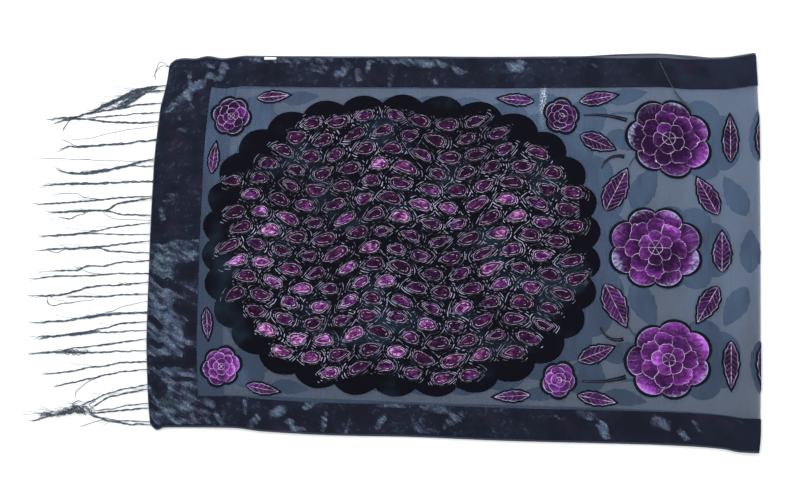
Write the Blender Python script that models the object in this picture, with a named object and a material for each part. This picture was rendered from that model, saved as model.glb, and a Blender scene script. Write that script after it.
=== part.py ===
"""A devore velvet scarf, folded once across its length and laid flat.

Metres, +Z up. The origin lies on the surface that carries the scarf, under the centre of its box.
+X runs along the scarf to the fold, +Y points to the far long edge, and both fringed ends lie at -X.
The cloth is one length: an upper stretch, the turn at the fold, and an under stretch that is a little
shorter. Its pile side faces out all round, so it faces up on the upper stretch and down on the under one.
"""

import math
from collections import namedtuple

import bmesh
import bpy
import numpy as np

# Driving sizes
BOX_LENGTH = 0.972  # fringe tips to the fold
FRINGE_REACH = 0.179  # the longest strand, from the upper end's edge
FRAME_SIDE = 0.042  # velvet border along each long edge
FRAME_END = 0.068  # velvet border at each fringed end
UNDER_SETBACK = 0.035  # how far the under end stops short of the upper one
WALL = 0.0012  # cloth with its ground weave
PILE = 0.0008  # velvet pile that stands on the ground weave
HEM_RISE = 0.0004  # narrow rolled hem on the long edges
HEM_WIDTH = 0.003
SEAM_GAP = 0.0003
PILE_GAP = 0.0005  # between the ground weave and a patch of pile in a solid of its own
TURN_RADIUS = 0.0035  # outer radius of the soft fold, without pile
TURN_REACH = 0.060  # length over which the upper stretch climbs to the fold
LAYER_GAP = 0.0005  # between the two stretches where they lie on each other
SETTLE_REACH = 0.012  # length over which the upper stretch comes down from the under strands
STEP_RUN = 0.0015  # plan width of a step in the relief

FOLD_X = BOX_LENGTH / 2
END_X = FRINGE_REACH - BOX_LENGTH / 2
TURN_X = FOLD_X - TURN_RADIUS - PILE / 2
REST_Z = WALL + LAYER_GAP
UPPER_FLAT = TURN_X - END_X
TURN_ARC = math.pi * TURN_RADIUS
UNDER_FLAT = UPPER_FLAT - UNDER_SETBACK
MIDDLE = (UPPER_FLAT + TURN_ARC + UNDER_FLAT) / 2  # from an end to the middle line of the cut length

# Plan outline, seen from above
Section = namedtuple("Section", "x far near")
UPPER_EDGES = (
    Section(-0.297, 0.2360, -0.2442),
    Section(-0.288, 0.2415, -0.2503),
    Section(-0.279, 0.2473, -0.2466),
    Section(-0.267, 0.2490, -0.2460),
    Section(-0.255, 0.2485, -0.2456),
    Section(-0.236, 0.2513, -0.2450),
    Section(-0.215, 0.2487, -0.2443),
    Section(-0.183, 0.2515, -0.2438),
    Section(-0.145, 0.2512, -0.2469),
    Section(-0.055, 0.2502, -0.2487),
    Section(0.062, 0.2490, -0.2471),
    Section(0.165, 0.2477, -0.2476),
    Section(0.290, 0.2480, -0.2464),
    Section(0.361, 0.2485, -0.2459),
    Section(0.398, 0.2451, -0.2461),
    Section(0.440, 0.2452, -0.2480),
    Section(0.461, 0.2475, -0.2512),
    Section(0.486, 0.2515, -0.2515),
)
UNDER_EDGES = (
    Section(-0.280, 0.2440, -0.2395),
    Section(-0.262, 0.2478, -0.2420),
    Section(-0.120, 0.2488, -0.2425),
    Section(0.080, 0.2470, -0.2440),
    Section(0.240, 0.2476, -0.2432),
    Section(0.310, 0.2508, -0.2438),
    Section(0.350, 0.2515, -0.2440),
    Section(0.392, 0.2488, -0.2446),
    Section(0.440, 0.2446, -0.2470),
    Section(0.461, 0.2470, -0.2500),
    Section(0.486, 0.2515, -0.2515),
)

WIDTH = UPPER_EDGES[-1].far - UPPER_EDGES[-1].near  # of the cut cloth, as it shows at the fold

# Crosswise edges, by share of the width from the near hem
Crosswise = namedtuple("Crosswise", "share x")
END_EDGE = (  # past END_X, towards the fold
    Crosswise(0.00, 0.0100),
    Crosswise(0.07, 0.0059),
    Crosswise(0.16, 0.0025),
    Crosswise(0.25, 0.0003),
    Crosswise(0.50, 0.0000),
    Crosswise(0.72, 0.0012),
    Crosswise(0.83, 0.0047),
    Crosswise(0.89, 0.0078),
    Crosswise(0.95, 0.0145),
    Crosswise(1.00, 0.0185),
)
FOLD_EDGE = (  # back from the fold's furthest point
    Crosswise(0.00, -0.0022),
    Crosswise(0.05, -0.0004),
    Crosswise(0.15, 0.0000),
    Crosswise(0.50, -0.0005),
    Crosswise(0.80, -0.0022),
    Crosswise(0.92, -0.0048),
    Crosswise(1.00, -0.0073),
)

# Soft ridges of the upper stretch: centre, heading from +X in degrees, half length, half width, height
RIDGE_END_POWER = 4  # a ridge keeps its height along its length, then drops
Ridge = namedtuple("Ridge", "x y heading length width height")
RIDGES = (
    Ridge(0.060, 0.003, 0, 0.400, 0.026, 0.0010),  # old lengthwise press line
    Ridge(0.222, 0.180, 92, 0.045, 0.014, 0.0012),  # crease in the sheer ground
    Ridge(0.452, 0.150, 88, 0.070, 0.012, 0.0009),  # crease beside the fold
    Ridge(-0.274, 0.232, 128, 0.040, 0.014, 0.0026),  # buckles of the far end corner
    Ridge(-0.236, 0.240, 96, 0.038, 0.013, 0.0024),
    Ridge(-0.183, 0.242, 84, 0.042, 0.018, 0.0020),
    Ridge(-0.286, 0.080, 84, 0.080, 0.020, 0.0010),  # ripples of the end border
    Ridge(-0.279, -0.120, 97, 0.090, 0.022, 0.0013),
    Ridge(-0.130, -0.238, 6, 0.110, 0.022, 0.0015),  # swells of the long borders
    Ridge(0.180, -0.234, -4, 0.120, 0.026, 0.0011),
    Ridge(0.425, -0.238, 14, 0.055, 0.020, 0.0016),
    Ridge(0.120, 0.240, 3, 0.140, 0.024, 0.0012),
    Ridge(-0.100, -0.110, -18, 0.150, 0.060, 0.0012),  # broad swells of the middle
    Ridge(0.090, 0.100, 22, 0.160, 0.055, 0.0010),
    Ridge(0.330, -0.110, 65, 0.110, 0.045, 0.0012),
)

# Flowers and leaves left standing in the pile: q from the middle line, v across from the centre line
MEDALLION_Q = 0.443
MEDALLION_HALF_LENGTH = 0.262
MEDALLION_HALF_WIDTH = 0.200
MEDALLION_POWER = 2.5  # 2 is an ellipse, more is squarer
MEDALLION_RINGS = 4
SCALLOPS = 30
SCALLOP_DEPTH = 0.011
SCALLOP_ROUNDNESS = 0.8  # less is fuller
POINTS_PER_SCALLOP = 5
PETAL_DEPTH = 0.15  # share of a rosette's radius
PETAL_ROUNDNESS = 0.7
POINTS_PER_PETAL = 5
OVAL = 0.06  # share by which a rosette is longer along its heading
LEAF_FULLNESS = 0.85  # less is blunter
LEAF_SKEW = 0.8  # less moves the widest place towards the stalk
STEM_TAPER = 0.6  # share of the width lost at the tip
Rosette = namedtuple("Rosette", "name q v heading radius petals")
MIDDLE_ROSETTE = Rosette("rosette_middle", 0.113, 0.000, 0, 0.058, 8)
MIRRORED_ROSETTES = (  # one on each side of the centre line
    Rosette("rosette", 0.096, 0.143, 28, 0.054, 7),
    Rosette("rosette_bud", 0.233, 0.172, 60, 0.025, 5),
    Rosette("rosette_end", 0.675, 0.170, 40, 0.029, 6),
)
Leaf = namedtuple("Leaf", "name q v heading length width")
MIDDLE_LEAF = Leaf("leaf_middle", 0.031, 0.000, 90, 0.056, 0.028)
MIRRORED_LEAVES = (
    Leaf("leaf_inner", 0.1615, 0.076, 116, 0.064, 0.034),
    Leaf("leaf_fold_inner", 0.049, 0.071, 62, 0.058, 0.029),
    Leaf("leaf_fold_outer", 0.020, 0.146, 90, 0.066, 0.024),
    Leaf("leaf_stem_inner", 0.185, 0.137, 203, 0.052, 0.027),
    Leaf("leaf_stem_outer", 0.184, 0.1955, 170, 0.054, 0.022),
    Leaf("leaf_stem_tip", 0.294, 0.194, 5, 0.052, 0.020),
    Leaf("leaf_end_side", 0.618, 0.196, 174, 0.050, 0.020),
    Leaf("leaf_end_front", 0.694, 0.114, 95, 0.048, 0.019),
)
Stem = namedtuple("Stem", "name q v heading bend length width")
MIRRORED_STEMS = (
    Stem("stem", 0.149, 0.166, 20, -26, 0.056, 0.0055),
    Stem("tendril", 0.152, 0.118, 20, -95, 0.036, 0.0050),
)

# A small plain label that is sewn in at the far hem and lies over it
LABEL_Q, LABEL_V = 0.635, 0.2487
LABEL_LENGTH, LABEL_DEPTH = 0.017, 0.0045
LABEL_WALL = 0.001
LABEL_CELLS = 4

# Tassels of the fringe: the legs' places at the edge, where they meet, and where they end, all plan y
Tassel = namedtuple("Tassel", "legs meet_reach meet_y tip_reach tip_y")
Knot = namedtuple("Knot", "reach y")
UPPER_TASSELS = (
    Tassel((0.2100, 0.1985, 0.1885, 0.1750), 0.100, 0.1720, 0.152, 0.1680),
    Tassel((0.1620,), 0.095, 0.1620, 0.148, 0.1520),
    Tassel((0.1119, 0.1024), 0.066, 0.0965, 0.143, 0.1020),
    Tassel((0.0620,), 0.065, 0.0580, 0.177, 0.0490),
    Tassel((0.0560, 0.0360), 0.071, 0.0410, 0.161, 0.0369),
    Tassel((0.0257, 0.0102), 0.095, 0.0103, 0.173, 0.0038),
    Tassel((0.0007, -0.0154), 0.079, -0.0094, 0.174, -0.0149),
    Tassel((-0.0550, -0.0702), 0.110, -0.0705, 0.171, -0.0777),
    Tassel((-0.1066, -0.1186), 0.082, -0.1225, 0.168, -0.1368),
    Tassel((-0.1292, -0.1452), 0.098, -0.1459, 0.169, -0.1550),
    Tassel((-0.1704,), 0.070, -0.1825, 0.129, -0.1982),
    Tassel((-0.1902, -0.1955, -0.2153, -0.2213, -0.2400), 0.077, -0.2300, 0.167, -0.2450),
)
UNDER_TASSELS = (
    Tassel((0.1405,), 0.123, 0.1290, 0.207, 0.1125),
    Tassel((0.0835,), 0.139, 0.0785, 0.211, 0.0725),
    Tassel((-0.0245,), 0.111, -0.0355, 0.197, -0.0424),
    Tassel((-0.0423,), 0.120, -0.0474, 0.214, -0.0545),
    Tassel((-0.0932,), 0.093, -0.0993, 0.203, -0.1127),
    Tassel((-0.1606,), 0.128, -0.1717, 0.184, -0.1814),
)
STRAND_SIDE = 0.0014
STRAND_PITCH = 0.0019  # side by side once the legs have met
STRAND_STEPS = 8
STRAND_FLOOR = 0.0004  # underside of a strand that lies on the surface
STRIP_DEPTH = 0.003  # header that the strands are fused into
DROOP_REACH = 0.030  # length over which an upper strand comes down to the surface

# Cells of the grids that the solids are made from
ACROSS_CELLS = 16
ALONG_CELLS = 36
RISE_CELLS = 6
TURN_CELLS = 8
UNDER_CELLS_ALONG = 30
UNDER_CELLS_ACROSS = 12
LEAF_CELLS = 8
STEM_CELLS = 8

SHARP_ANGLE = math.radians(35)
MERGE_REACH = 1e-6
BLACK_PILE = (0.012, 0.014, 0.024)
SHEER_GROUND = (0.110, 0.150, 0.200)
PURPLE_PILE = (0.120, 0.018, 0.110)
FRINGE_YARN = (0.060, 0.090, 0.120)
LABEL_SATIN = (0.850, 0.860, 0.870)


def smooth_step(t):
    """0 below 0, 1 above 1, with level ends."""
    t = np.clip(t, 0, 1)
    return t * t * (3 - 2 * t)


def through(rows, key, value, at):
    """A smooth curve through a table's rows that never overshoots them: cubic pieces whose slope at a row is
    the harmonic mean of the slopes on its two sides, or level where the rows turn back."""
    xs = np.array([getattr(row, key) for row in rows])
    ys = np.array([getattr(row, value) for row in rows])
    chord = np.diff(ys) / np.diff(xs)
    before, after = chord[:-1], chord[1:]
    same_way = before * after > 0
    mean = 2 * before * after / np.where(same_way, before + after, 1)
    slopes = np.concatenate([chord[:1], np.where(same_way, mean, 0), chord[-1:]])
    at = np.clip(at, xs[0], xs[-1])
    i = np.clip(np.searchsorted(xs, at, side="right") - 1, 0, len(xs) - 2)
    step = xs[i + 1] - xs[i]
    t = (at - xs[i]) / step
    held = (1 + 2 * t) * (1 - t) ** 2 * ys[i] + t * t * (3 - 2 * t) * ys[i + 1]
    return held + step * t * (1 - t) * ((1 - t) * slopes[i] - t * slopes[i + 1])


def end_x(share):
    """Plan x of the upper end's edge."""
    return END_X + through(END_EDGE, "share", "x", share)


def turn_x(share):
    """Plan x where the flat stretches meet the turn."""
    return TURN_X + through(FOLD_EDGE, "share", "x", share)


def across(edges, x, share):
    """Plan y at a share of the width, from the near hem to the far one."""
    near = through(edges, "x", "near", x)
    far = through(edges, "x", "far", x)
    return near + share * (far - near)


def lift(x, y):
    """Height of the upper stretch's underside over its rest level."""
    total = np.zeros_like(x + y)
    for ridge in RIDGES:
        turn = math.radians(ridge.heading)
        along = (x - ridge.x) * math.cos(turn) + (y - ridge.y) * math.sin(turn)
        aside = (y - ridge.y) * math.cos(turn) - (x - ridge.x) * math.sin(turn)
        faded = np.abs(along / ridge.length) ** RIDGE_END_POWER
        total += ridge.height * np.exp(-faded - (aside / ridge.width) ** 2)
    climb = 2 * TURN_RADIUS - WALL - REST_Z
    climbed = smooth_step((x - TURN_X + TURN_REACH) / TURN_REACH)
    over_strands = STRAND_FLOOR + STRAND_SIDE + SEAM_GAP - REST_Z
    past_under_end = smooth_step((x - END_X - UNDER_SETBACK) / SETTLE_REACH)
    return total * (1 - climbed) + climb * climbed + over_strands * (1 - past_under_end)


def mesh_object(name, mesh_data, colour, roughness=0.8):
    """A finished object with its own plain material, smooth but for its sharp edges."""
    mesh = bpy.data.meshes.new(name)
    mesh_data.to_mesh(mesh)
    mesh_data.free()
    material = bpy.data.materials.new(name)
    material.use_nodes = True
    shader = material.node_tree.nodes["Principled BSDF"]
    shader.inputs["Base Color"].default_value = (*colour, 1)
    shader.inputs["Roughness"].default_value = roughness
    mesh.materials.append(material)
    mesh.shade_smooth()
    mesh.set_sharp_from_angle(angle=SHARP_ANGLE)
    bpy.context.scene.collection.objects.link(bpy.data.objects.new(name, mesh))


def closed_wall(name, outer, inner, colour, ring=False):
    """A closed body between two grids of points of the same shape. In a ring the columns close on themselves
    and the first row is a single point. Coincident points are merged, which closes poles and leaf tips."""
    rows, columns = outer.shape[:2]
    body = bmesh.new()
    skins = [[[body.verts.new(p) for p in row] for row in grid] for grid in (outer, inner)]
    last = columns if ring else columns - 1
    for skin, turned in zip(skins, (False, True)):
        for i in range(rows - 1):
            for j in range(last):
                k = (j + 1) % columns
                loop = [skin[i][j], skin[i][k], skin[i + 1][k], skin[i + 1][j]]
                body.faces.new(loop[::-1] if turned else loop)
    top, bottom = skins
    sides = [[(rows - 1, j) for j in range(columns)] + [(rows - 1, 0)] * ring]
    if not ring:
        sides += [[(0, j) for j in range(columns)]]
        sides += [[(i, 0) for i in range(rows)], [(i, columns - 1) for i in range(rows)]]
    for side in sides:
        for (i, j), (m, n) in zip(side, side[1:]):
            body.faces.new([top[i][j], top[m][n], bottom[m][n], bottom[i][j]])
    bmesh.ops.remove_doubles(body, verts=body.verts, dist=MERGE_REACH)
    bmesh.ops.recalc_face_normals(body, faces=body.faces)
    mesh_object(name, body, colour)


def wall_shares():
    """Stations across the width, with a pair at each step of the relief."""
    hem, step, frame = (size / WIDTH for size in (HEM_WIDTH, STEP_RUN, FRAME_SIDE))
    side = [0, hem, hem + step, frame / 2, frame, frame + step]
    middle = np.linspace(frame + step, 1 - frame - step, ACROSS_CELLS + 1)[1:-1]
    return np.array(side + list(middle) + [1 - s for s in reversed(side)])


def relief(along, share):
    """Height of hem and velvet frame over the sheer ground, at stations that straddle each step."""
    from_edge = np.minimum(share, 1 - share) * WIDTH
    framed = (from_edge < FRAME_SIDE + STEP_RUN / 2) | (along < FRAME_END + STEP_RUN / 2)
    return np.where(from_edge < HEM_WIDTH + STEP_RUN / 2, HEM_RISE, np.where(framed, PILE, 0.0))


def upper_layer():
    """The upper stretch: a plain underside, and hem and velvet frame raised in the outer points."""
    shares = wall_shares()
    flat = UPPER_FLAT - TURN_REACH
    stations = [0, FRAME_END / 2, FRAME_END, *np.linspace(FRAME_END + STEP_RUN, flat, ALONG_CELLS)]
    stations += list(np.linspace(flat, UPPER_FLAT, RISE_CELLS + 1)[1:])
    along, share = np.meshgrid(np.array(stations), shares, indexing="ij")
    start = end_x(share)
    x = start + along / UPPER_FLAT * (turn_x(share) - SEAM_GAP / 2 - start)
    y = across(UPPER_EDGES, x, share)
    under = REST_Z + lift(x, y)
    top = under + WALL + relief(along, share)
    closed_wall("upper_layer", np.stack([x, y, top], -1), np.stack([x, y, under], -1), SHEER_GROUND)


def fold_turn():
    """The half turn at the fold: a wall round a soft gap. Its pile fades out to the flat underside."""
    shares = wall_shares()
    angle, share = np.meshgrid(np.linspace(0, math.pi, TURN_CELLS + 1), shares, indexing="ij")
    pile = relief(UPPER_FLAT, share) * (1 + np.cos(angle)) / 2
    middle = turn_x(share) + SEAM_GAP / 2
    y = across(UPPER_EDGES, turn_x(share), share)

    def skin(radius):
        return np.stack([middle + radius * np.sin(angle), y, TURN_RADIUS + radius * np.cos(angle)], -1)

    closed_wall("fold_turn", skin(TURN_RADIUS + pile), skin(TURN_RADIUS - WALL + 0 * pile), SHEER_GROUND)


def under_layer():
    """The under stretch, flat on the surface, its end set back under the upper one."""
    rows, shares = np.linspace(0, 1, UNDER_CELLS_ALONG + 1), np.linspace(0, 1, UNDER_CELLS_ACROSS + 1)
    along, share = np.meshgrid(rows, shares, indexing="ij")
    start = end_x(share) + UNDER_SETBACK
    x = start + along * (turn_x(share) - SEAM_GAP / 2 - start)
    y = across(UNDER_EDGES, x, share)
    top = np.stack([x, y, np.full_like(x, WALL)], -1)
    closed_wall("under_layer", top, np.stack([x, y, np.zeros_like(x)], -1), BLACK_PILE)


def on_upper(q, v):
    """Plan point of the upper stretch at q from the middle line and v across from the centre line."""
    share = 0.5 + v / WIDTH
    start = end_x(share)
    x = start + (MIDDLE - q) / UPPER_FLAT * (turn_x(share) - start)
    return x, across(UPPER_EDGES, x, share)


def standing_pile(name, q, v, colour, ring=False, foot=PILE_GAP, height=PILE):
    """A patch of pile on the sheer ground's points, moved out by a hair and by the pile's height."""
    x, y = on_upper(q, v)
    ground = REST_Z + lift(x, y) + WALL + foot
    outer = np.stack([x, y, ground + height], -1)
    closed_wall(name, outer, np.stack([x, y, ground], -1), colour, ring)


def medallion():
    """A scalloped oval of black pile, in polar form round its centre."""
    turn = np.linspace(0, 2 * math.pi, POINTS_PER_SCALLOP * SCALLOPS, endpoint=False)
    ring, turn = np.meshgrid(np.linspace(0, 1, MEDALLION_RINGS + 1), turn, indexing="ij")
    powers = np.abs(np.cos(turn)) ** MEDALLION_POWER + np.abs(np.sin(turn)) ** MEDALLION_POWER
    oval = powers ** (-1 / MEDALLION_POWER)
    scallop = SCALLOP_DEPTH * (np.abs(np.sin(SCALLOPS * turn / 2)) ** SCALLOP_ROUNDNESS - 1)
    q = MEDALLION_Q + ring * (MEDALLION_HALF_LENGTH * oval + scallop) * np.cos(turn)
    v = ring * (MEDALLION_HALF_WIDTH * oval + scallop) * np.sin(turn)
    standing_pile("pile_medallion", q, v, BLACK_PILE, ring=True)


def rosette(flower):
    """A nearly round flower of purple pile with one lobe for each petal."""
    turn = np.linspace(0, 2 * math.pi, POINTS_PER_PETAL * flower.petals, endpoint=False)
    ring, turn = np.meshgrid(np.linspace(0, 1, 3), turn, indexing="ij")
    lobe = 1 - PETAL_DEPTH * (1 - np.abs(np.sin(flower.petals * turn / 2)) ** PETAL_ROUNDNESS)
    reach = ring * flower.radius * lobe * (1 + OVAL * np.cos(2 * turn))
    turn = turn + math.radians(flower.heading)
    q = flower.q + reach * np.cos(turn)
    standing_pile(f"pile_{flower.name}", q, flower.v + reach * np.sin(turn), PURPLE_PILE, ring=True)


def leaf(blade):
    """A pointed leaf of purple pile: stations along its rib, widest near the stalk."""
    along, aside = np.meshgrid(np.linspace(0, 1, LEAF_CELLS + 1), np.array([-1.0, 1.0]), indexing="ij")
    half = blade.width / 2 * np.sin(math.pi * along**LEAF_SKEW) ** LEAF_FULLNESS
    turn = math.radians(blade.heading)
    run = (along - 0.5) * blade.length
    q = blade.q + run * math.cos(turn) - aside * half * math.sin(turn)
    v = blade.v + run * math.sin(turn) + aside * half * math.cos(turn)
    standing_pile(f"pile_{blade.name}", q, v, PURPLE_PILE)


def stem(shoot):
    """A curved stalk of purple pile: an arc that tapers to its tip."""
    along, aside = np.meshgrid(np.linspace(0, 1, STEM_CELLS + 1), np.array([-1.0, 1.0]), indexing="ij")
    turn = np.radians(shoot.heading + along * shoot.bend)
    start, bend = math.radians(shoot.heading), math.radians(shoot.bend)
    radius = shoot.length / bend
    half = shoot.width / 2 * (1 - STEM_TAPER * along)
    q = shoot.q + radius * (np.sin(turn) - math.sin(start)) - aside * half * np.sin(turn)
    v = shoot.v - radius * (np.cos(turn) - math.cos(start)) + aside * half * np.cos(turn)
    standing_pile(f"pile_{shoot.name}", q, v, PURPLE_PILE)


def care_label():
    """A flat slip over the hem's pile, a seam's gap above it."""
    q = LABEL_Q + LABEL_LENGTH * np.linspace(-0.5, 0.5, LABEL_CELLS + 1)
    q, v = np.meshgrid(q, LABEL_V + LABEL_DEPTH * np.array([-0.5, 0.5]), indexing="ij")
    standing_pile("care_label", q, v, LABEL_SATIN, foot=PILE + SEAM_GAP, height=LABEL_WALL)


def mirrored(figure, maker):
    """The figure on the far side of the centre line and its mirror image on the near side."""
    maker(figure._replace(name=f"{figure.name}_far"))
    other = figure._replace(name=f"{figure.name}_near", v=-figure.v, heading=-figure.heading)
    maker(other._replace(bend=-figure.bend) if hasattr(figure, "bend") else other)


def strand_line(tassel, leg, root, start_z):
    """Centre line of one strand: out of the edge, in to the meeting point, then side by side to the tip."""
    aside = ((len(tassel.legs) - 1) / 2 - leg) * STRAND_PITCH
    start, meet = tassel.legs[leg], tassel.meet_y + aside
    knots = (
        Knot(0, start),
        Knot(tassel.meet_reach / 4, start + (meet - start) / 8),
        Knot(tassel.meet_reach, meet),
        Knot(tassel.tip_reach, tassel.tip_y + aside),
    )
    reach = np.linspace(0, tassel.tip_reach - STRIP_DEPTH - SEAM_GAP, STRAND_STEPS + 1)
    y = through(knots, "reach", "y", reach)
    down = smooth_step(reach / DROOP_REACH)
    z = start_z * (1 - down) + (STRAND_FLOOR + STRAND_SIDE / 2) * down
    return np.stack([root - reach, y, z], -1)


def fringe(name, tassels, edge, middle_z):
    """A header strip along the edge, parted from it, with each strand extruded from a face of its front."""
    half = STRAND_SIDE / 2
    legs = sorted((y, tassel, place) for tassel in tassels for place, y in enumerate(tassel.legs))
    low, high = legs[0][0] - 4 * half, legs[-1][0] + 4 * half
    corners_of = {y: [y - half, y + half] for y, _, _ in legs}
    cuts = [low, high] + [side for pair in corners_of.values() for side in pair]
    cuts += [y for y in edge[1] if low < y < high and all(abs(y - root) > 2 * half for root, _, _ in legs)]
    cuts.sort()
    body = bmesh.new()
    columns = {}
    for y in cuts:
        back = float(np.interp(y, edge[1], edge[0])) - SEAM_GAP
        z = middle_z(back, y)
        front = back - STRIP_DEPTH
        corners = [(front, -half), (front, half), (back, WALL / 2), (back, -WALL / 2)]
        columns[y] = [body.verts.new((x, y, z + up)) for x, up in corners]
    strands = {y - half: (y, tassel, place) for y, tassel, place in legs}
    for near, far in zip(cuts, cuts[1:]):
        a, b = columns[near], columns[far]
        for k in (1, 2, 3):
            body.faces.new([a[k], b[k], b[(k + 1) % 4], a[(k + 1) % 4]])
        ring = [a[0], b[0], b[1], a[1]]
        if near in strands:
            y, tassel, place = strands[near]
            for x, side, z in strand_line(tassel, place, a[0].co.x, (a[0].co.z + a[1].co.z) / 2)[1:]:
                corners = [(-half, -half), (half, -half), (half, half), (-half, half)]
                following = [body.verts.new((x, side + dy, z + dz)) for dy, dz in corners]
                for k in range(4):
                    body.faces.new([ring[k], ring[(k + 1) % 4], following[(k + 1) % 4], following[k]])
                ring = following
        body.faces.new(ring)
    for y in (low, high):
        body.faces.new(columns[y])
    bmesh.ops.recalc_face_normals(body, faces=body.faces)
    mesh_object(name, body, FRINGE_YARN, roughness=0.6)


def fringes():
    """Both fringes. The under one leaves the set back end and runs out beneath the upper cloth."""
    share = wall_shares()
    x = end_x(share)
    upper_edge = x, across(UPPER_EDGES, x, share)
    share = np.linspace(0, 1, UNDER_CELLS_ACROSS + 1)
    x = end_x(share) + UNDER_SETBACK
    under_edge = x, across(UNDER_EDGES, x, share)

    def upper_z(x, y):
        return float(REST_Z + lift(np.array(x + SEAM_GAP), np.array(y)) + WALL / 2)

    fringe("upper_fringe", UPPER_TASSELS, upper_edge, upper_z)
    fringe("under_fringe", UNDER_TASSELS, under_edge, lambda x, y: STRAND_FLOOR + STRAND_SIDE / 2)


for old in list(bpy.data.objects):
    bpy.data.objects.remove(old)
upper_layer()
fold_turn()
under_layer()
medallion()
rosette(MIDDLE_ROSETTE)
leaf(MIDDLE_LEAF)
for flower in MIRRORED_ROSETTES:
    mirrored(flower, rosette)
for blade in MIRRORED_LEAVES:
    mirrored(blade, leaf)
for shoot in MIRRORED_STEMS:
    mirrored(shoot, stem)
care_label()
fringes()
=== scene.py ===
"""A devore velvet scarf, folded once and laid flat: the looks of its cloth, pile and fringes."""

import math
from collections import namedtuple

import bpy
import numpy as np
from mathutils import Matrix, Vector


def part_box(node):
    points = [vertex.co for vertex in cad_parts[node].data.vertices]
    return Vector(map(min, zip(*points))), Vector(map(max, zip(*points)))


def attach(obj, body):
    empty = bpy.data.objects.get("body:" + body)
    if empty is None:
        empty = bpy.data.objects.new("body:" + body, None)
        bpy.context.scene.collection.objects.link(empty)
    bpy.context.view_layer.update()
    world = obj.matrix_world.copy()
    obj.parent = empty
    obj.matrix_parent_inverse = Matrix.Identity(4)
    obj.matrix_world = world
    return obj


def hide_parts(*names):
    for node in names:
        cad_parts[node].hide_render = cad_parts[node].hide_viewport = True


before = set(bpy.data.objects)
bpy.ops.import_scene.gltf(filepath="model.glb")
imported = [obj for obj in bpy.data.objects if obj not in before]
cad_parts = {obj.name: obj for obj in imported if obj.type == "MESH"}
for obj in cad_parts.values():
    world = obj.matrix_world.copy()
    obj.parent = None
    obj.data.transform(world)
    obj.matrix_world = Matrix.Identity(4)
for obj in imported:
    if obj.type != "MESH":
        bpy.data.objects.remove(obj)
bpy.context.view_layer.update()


# The ground cloth: sheer blue-grey crepe chiffon, the weave that is left where the pile is burnt away.
# It is one thin length from end to end, folded once into an upper stretch, a turn and an under stretch,
# so the surface and the under stretch show through it.
# A place on it is q, metres along it from the middle of its length (positive on the upper stretch),
# v, metres across it from the centre line, and rise, metres out of its pile side.
FOLD_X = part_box("fold_turn")[1][0]
END_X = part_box("upper_layer")[0][0]
UNDER_SETBACK = 0.035
TURN_RADIUS = 0.0030
TURN_LIFT = 0.0040  # height of the turn's axis
TURN_INSET = 0.0039  # from the fold to the turn's axis
TURN_REACH = 0.060
UPPER_REST = 0.0029
STRAND_LIFT = 0.0004  # how far the under strands hold up the upper end
SETTLE_REACH = 0.012


def table(columns, *rows):
    """Rows of values under named columns."""
    Row = namedtuple("Row", columns)
    return [Row(*row) for row in rows]


UPPER_EDGES = table(
    "x far near",
    (-0.297, 0.2360, -0.2442), (-0.288, 0.2415, -0.2503), (-0.279, 0.2473, -0.2466),
    (-0.267, 0.2490, -0.2460), (-0.255, 0.2485, -0.2456), (-0.236, 0.2513, -0.2450),
    (-0.215, 0.2487, -0.2443), (-0.183, 0.2515, -0.2438), (-0.145, 0.2512, -0.2469),
    (-0.055, 0.2502, -0.2487), (0.062, 0.2490, -0.2471), (0.165, 0.2477, -0.2476), (0.290, 0.2480, -0.2464),
    (0.361, 0.2485, -0.2459), (0.398, 0.2451, -0.2461), (0.440, 0.2452, -0.2480), (0.461, 0.2475, -0.2512),
    (0.486, 0.2515, -0.2515),
)
UNDER_EDGES = table(
    "x far near",
    (-0.280, 0.2440, -0.2395), (-0.262, 0.2478, -0.2420), (-0.120, 0.2488, -0.2425),
    (0.080, 0.2470, -0.2440), (0.240, 0.2476, -0.2432), (0.310, 0.2508, -0.2438), (0.350, 0.2515, -0.2440),
    (0.392, 0.2488, -0.2446), (0.440, 0.2446, -0.2470), (0.461, 0.2470, -0.2500), (0.486, 0.2515, -0.2515),
)
WIDTH = UPPER_EDGES[-1].far - UPPER_EDGES[-1].near

# How far the end and the fold lie from a straight line, by share of the width.
END_EDGE = table(
    "share x",
    (0.00, 0.0100), (0.07, 0.0059), (0.16, 0.0025), (0.25, 0.0003), (0.50, 0.0000), (0.72, 0.0012),
    (0.83, 0.0047), (0.89, 0.0078), (0.95, 0.0145), (1.00, 0.0185),
)
FOLD_EDGE = table(
    "share x",
    (0.00, -0.0022), (0.05, -0.0004), (0.15, 0.0000), (0.50, -0.0005), (0.80, -0.0022), (0.92, -0.0048),
    (1.00, -0.0073),
)

RIDGES = table(
    "x y heading length width height",
    (0.060, 0.003, 0, 0.400, 0.026, 0.0010), (0.222, 0.180, 92, 0.045, 0.011, 0.0014),
    (0.452, 0.150, 88, 0.070, 0.012, 0.0009), (-0.274, 0.232, 128, 0.040, 0.014, 0.0026),
    (-0.236, 0.240, 96, 0.038, 0.013, 0.0024), (-0.183, 0.242, 84, 0.042, 0.018, 0.0020),
    (-0.286, 0.080, 84, 0.080, 0.020, 0.0010), (-0.279, -0.120, 97, 0.090, 0.022, 0.0013),
    (-0.130, -0.238, 6, 0.110, 0.022, 0.0015), (0.180, -0.234, -4, 0.120, 0.026, 0.0011),
    (0.425, -0.238, 14, 0.055, 0.020, 0.0016), (0.120, 0.240, 3, 0.140, 0.024, 0.0012),
    (-0.100, -0.110, -18, 0.150, 0.060, 0.0012), (0.090, 0.100, 22, 0.160, 0.055, 0.0010),
    (0.330, -0.110, 65, 0.110, 0.045, 0.0012),
)

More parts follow.
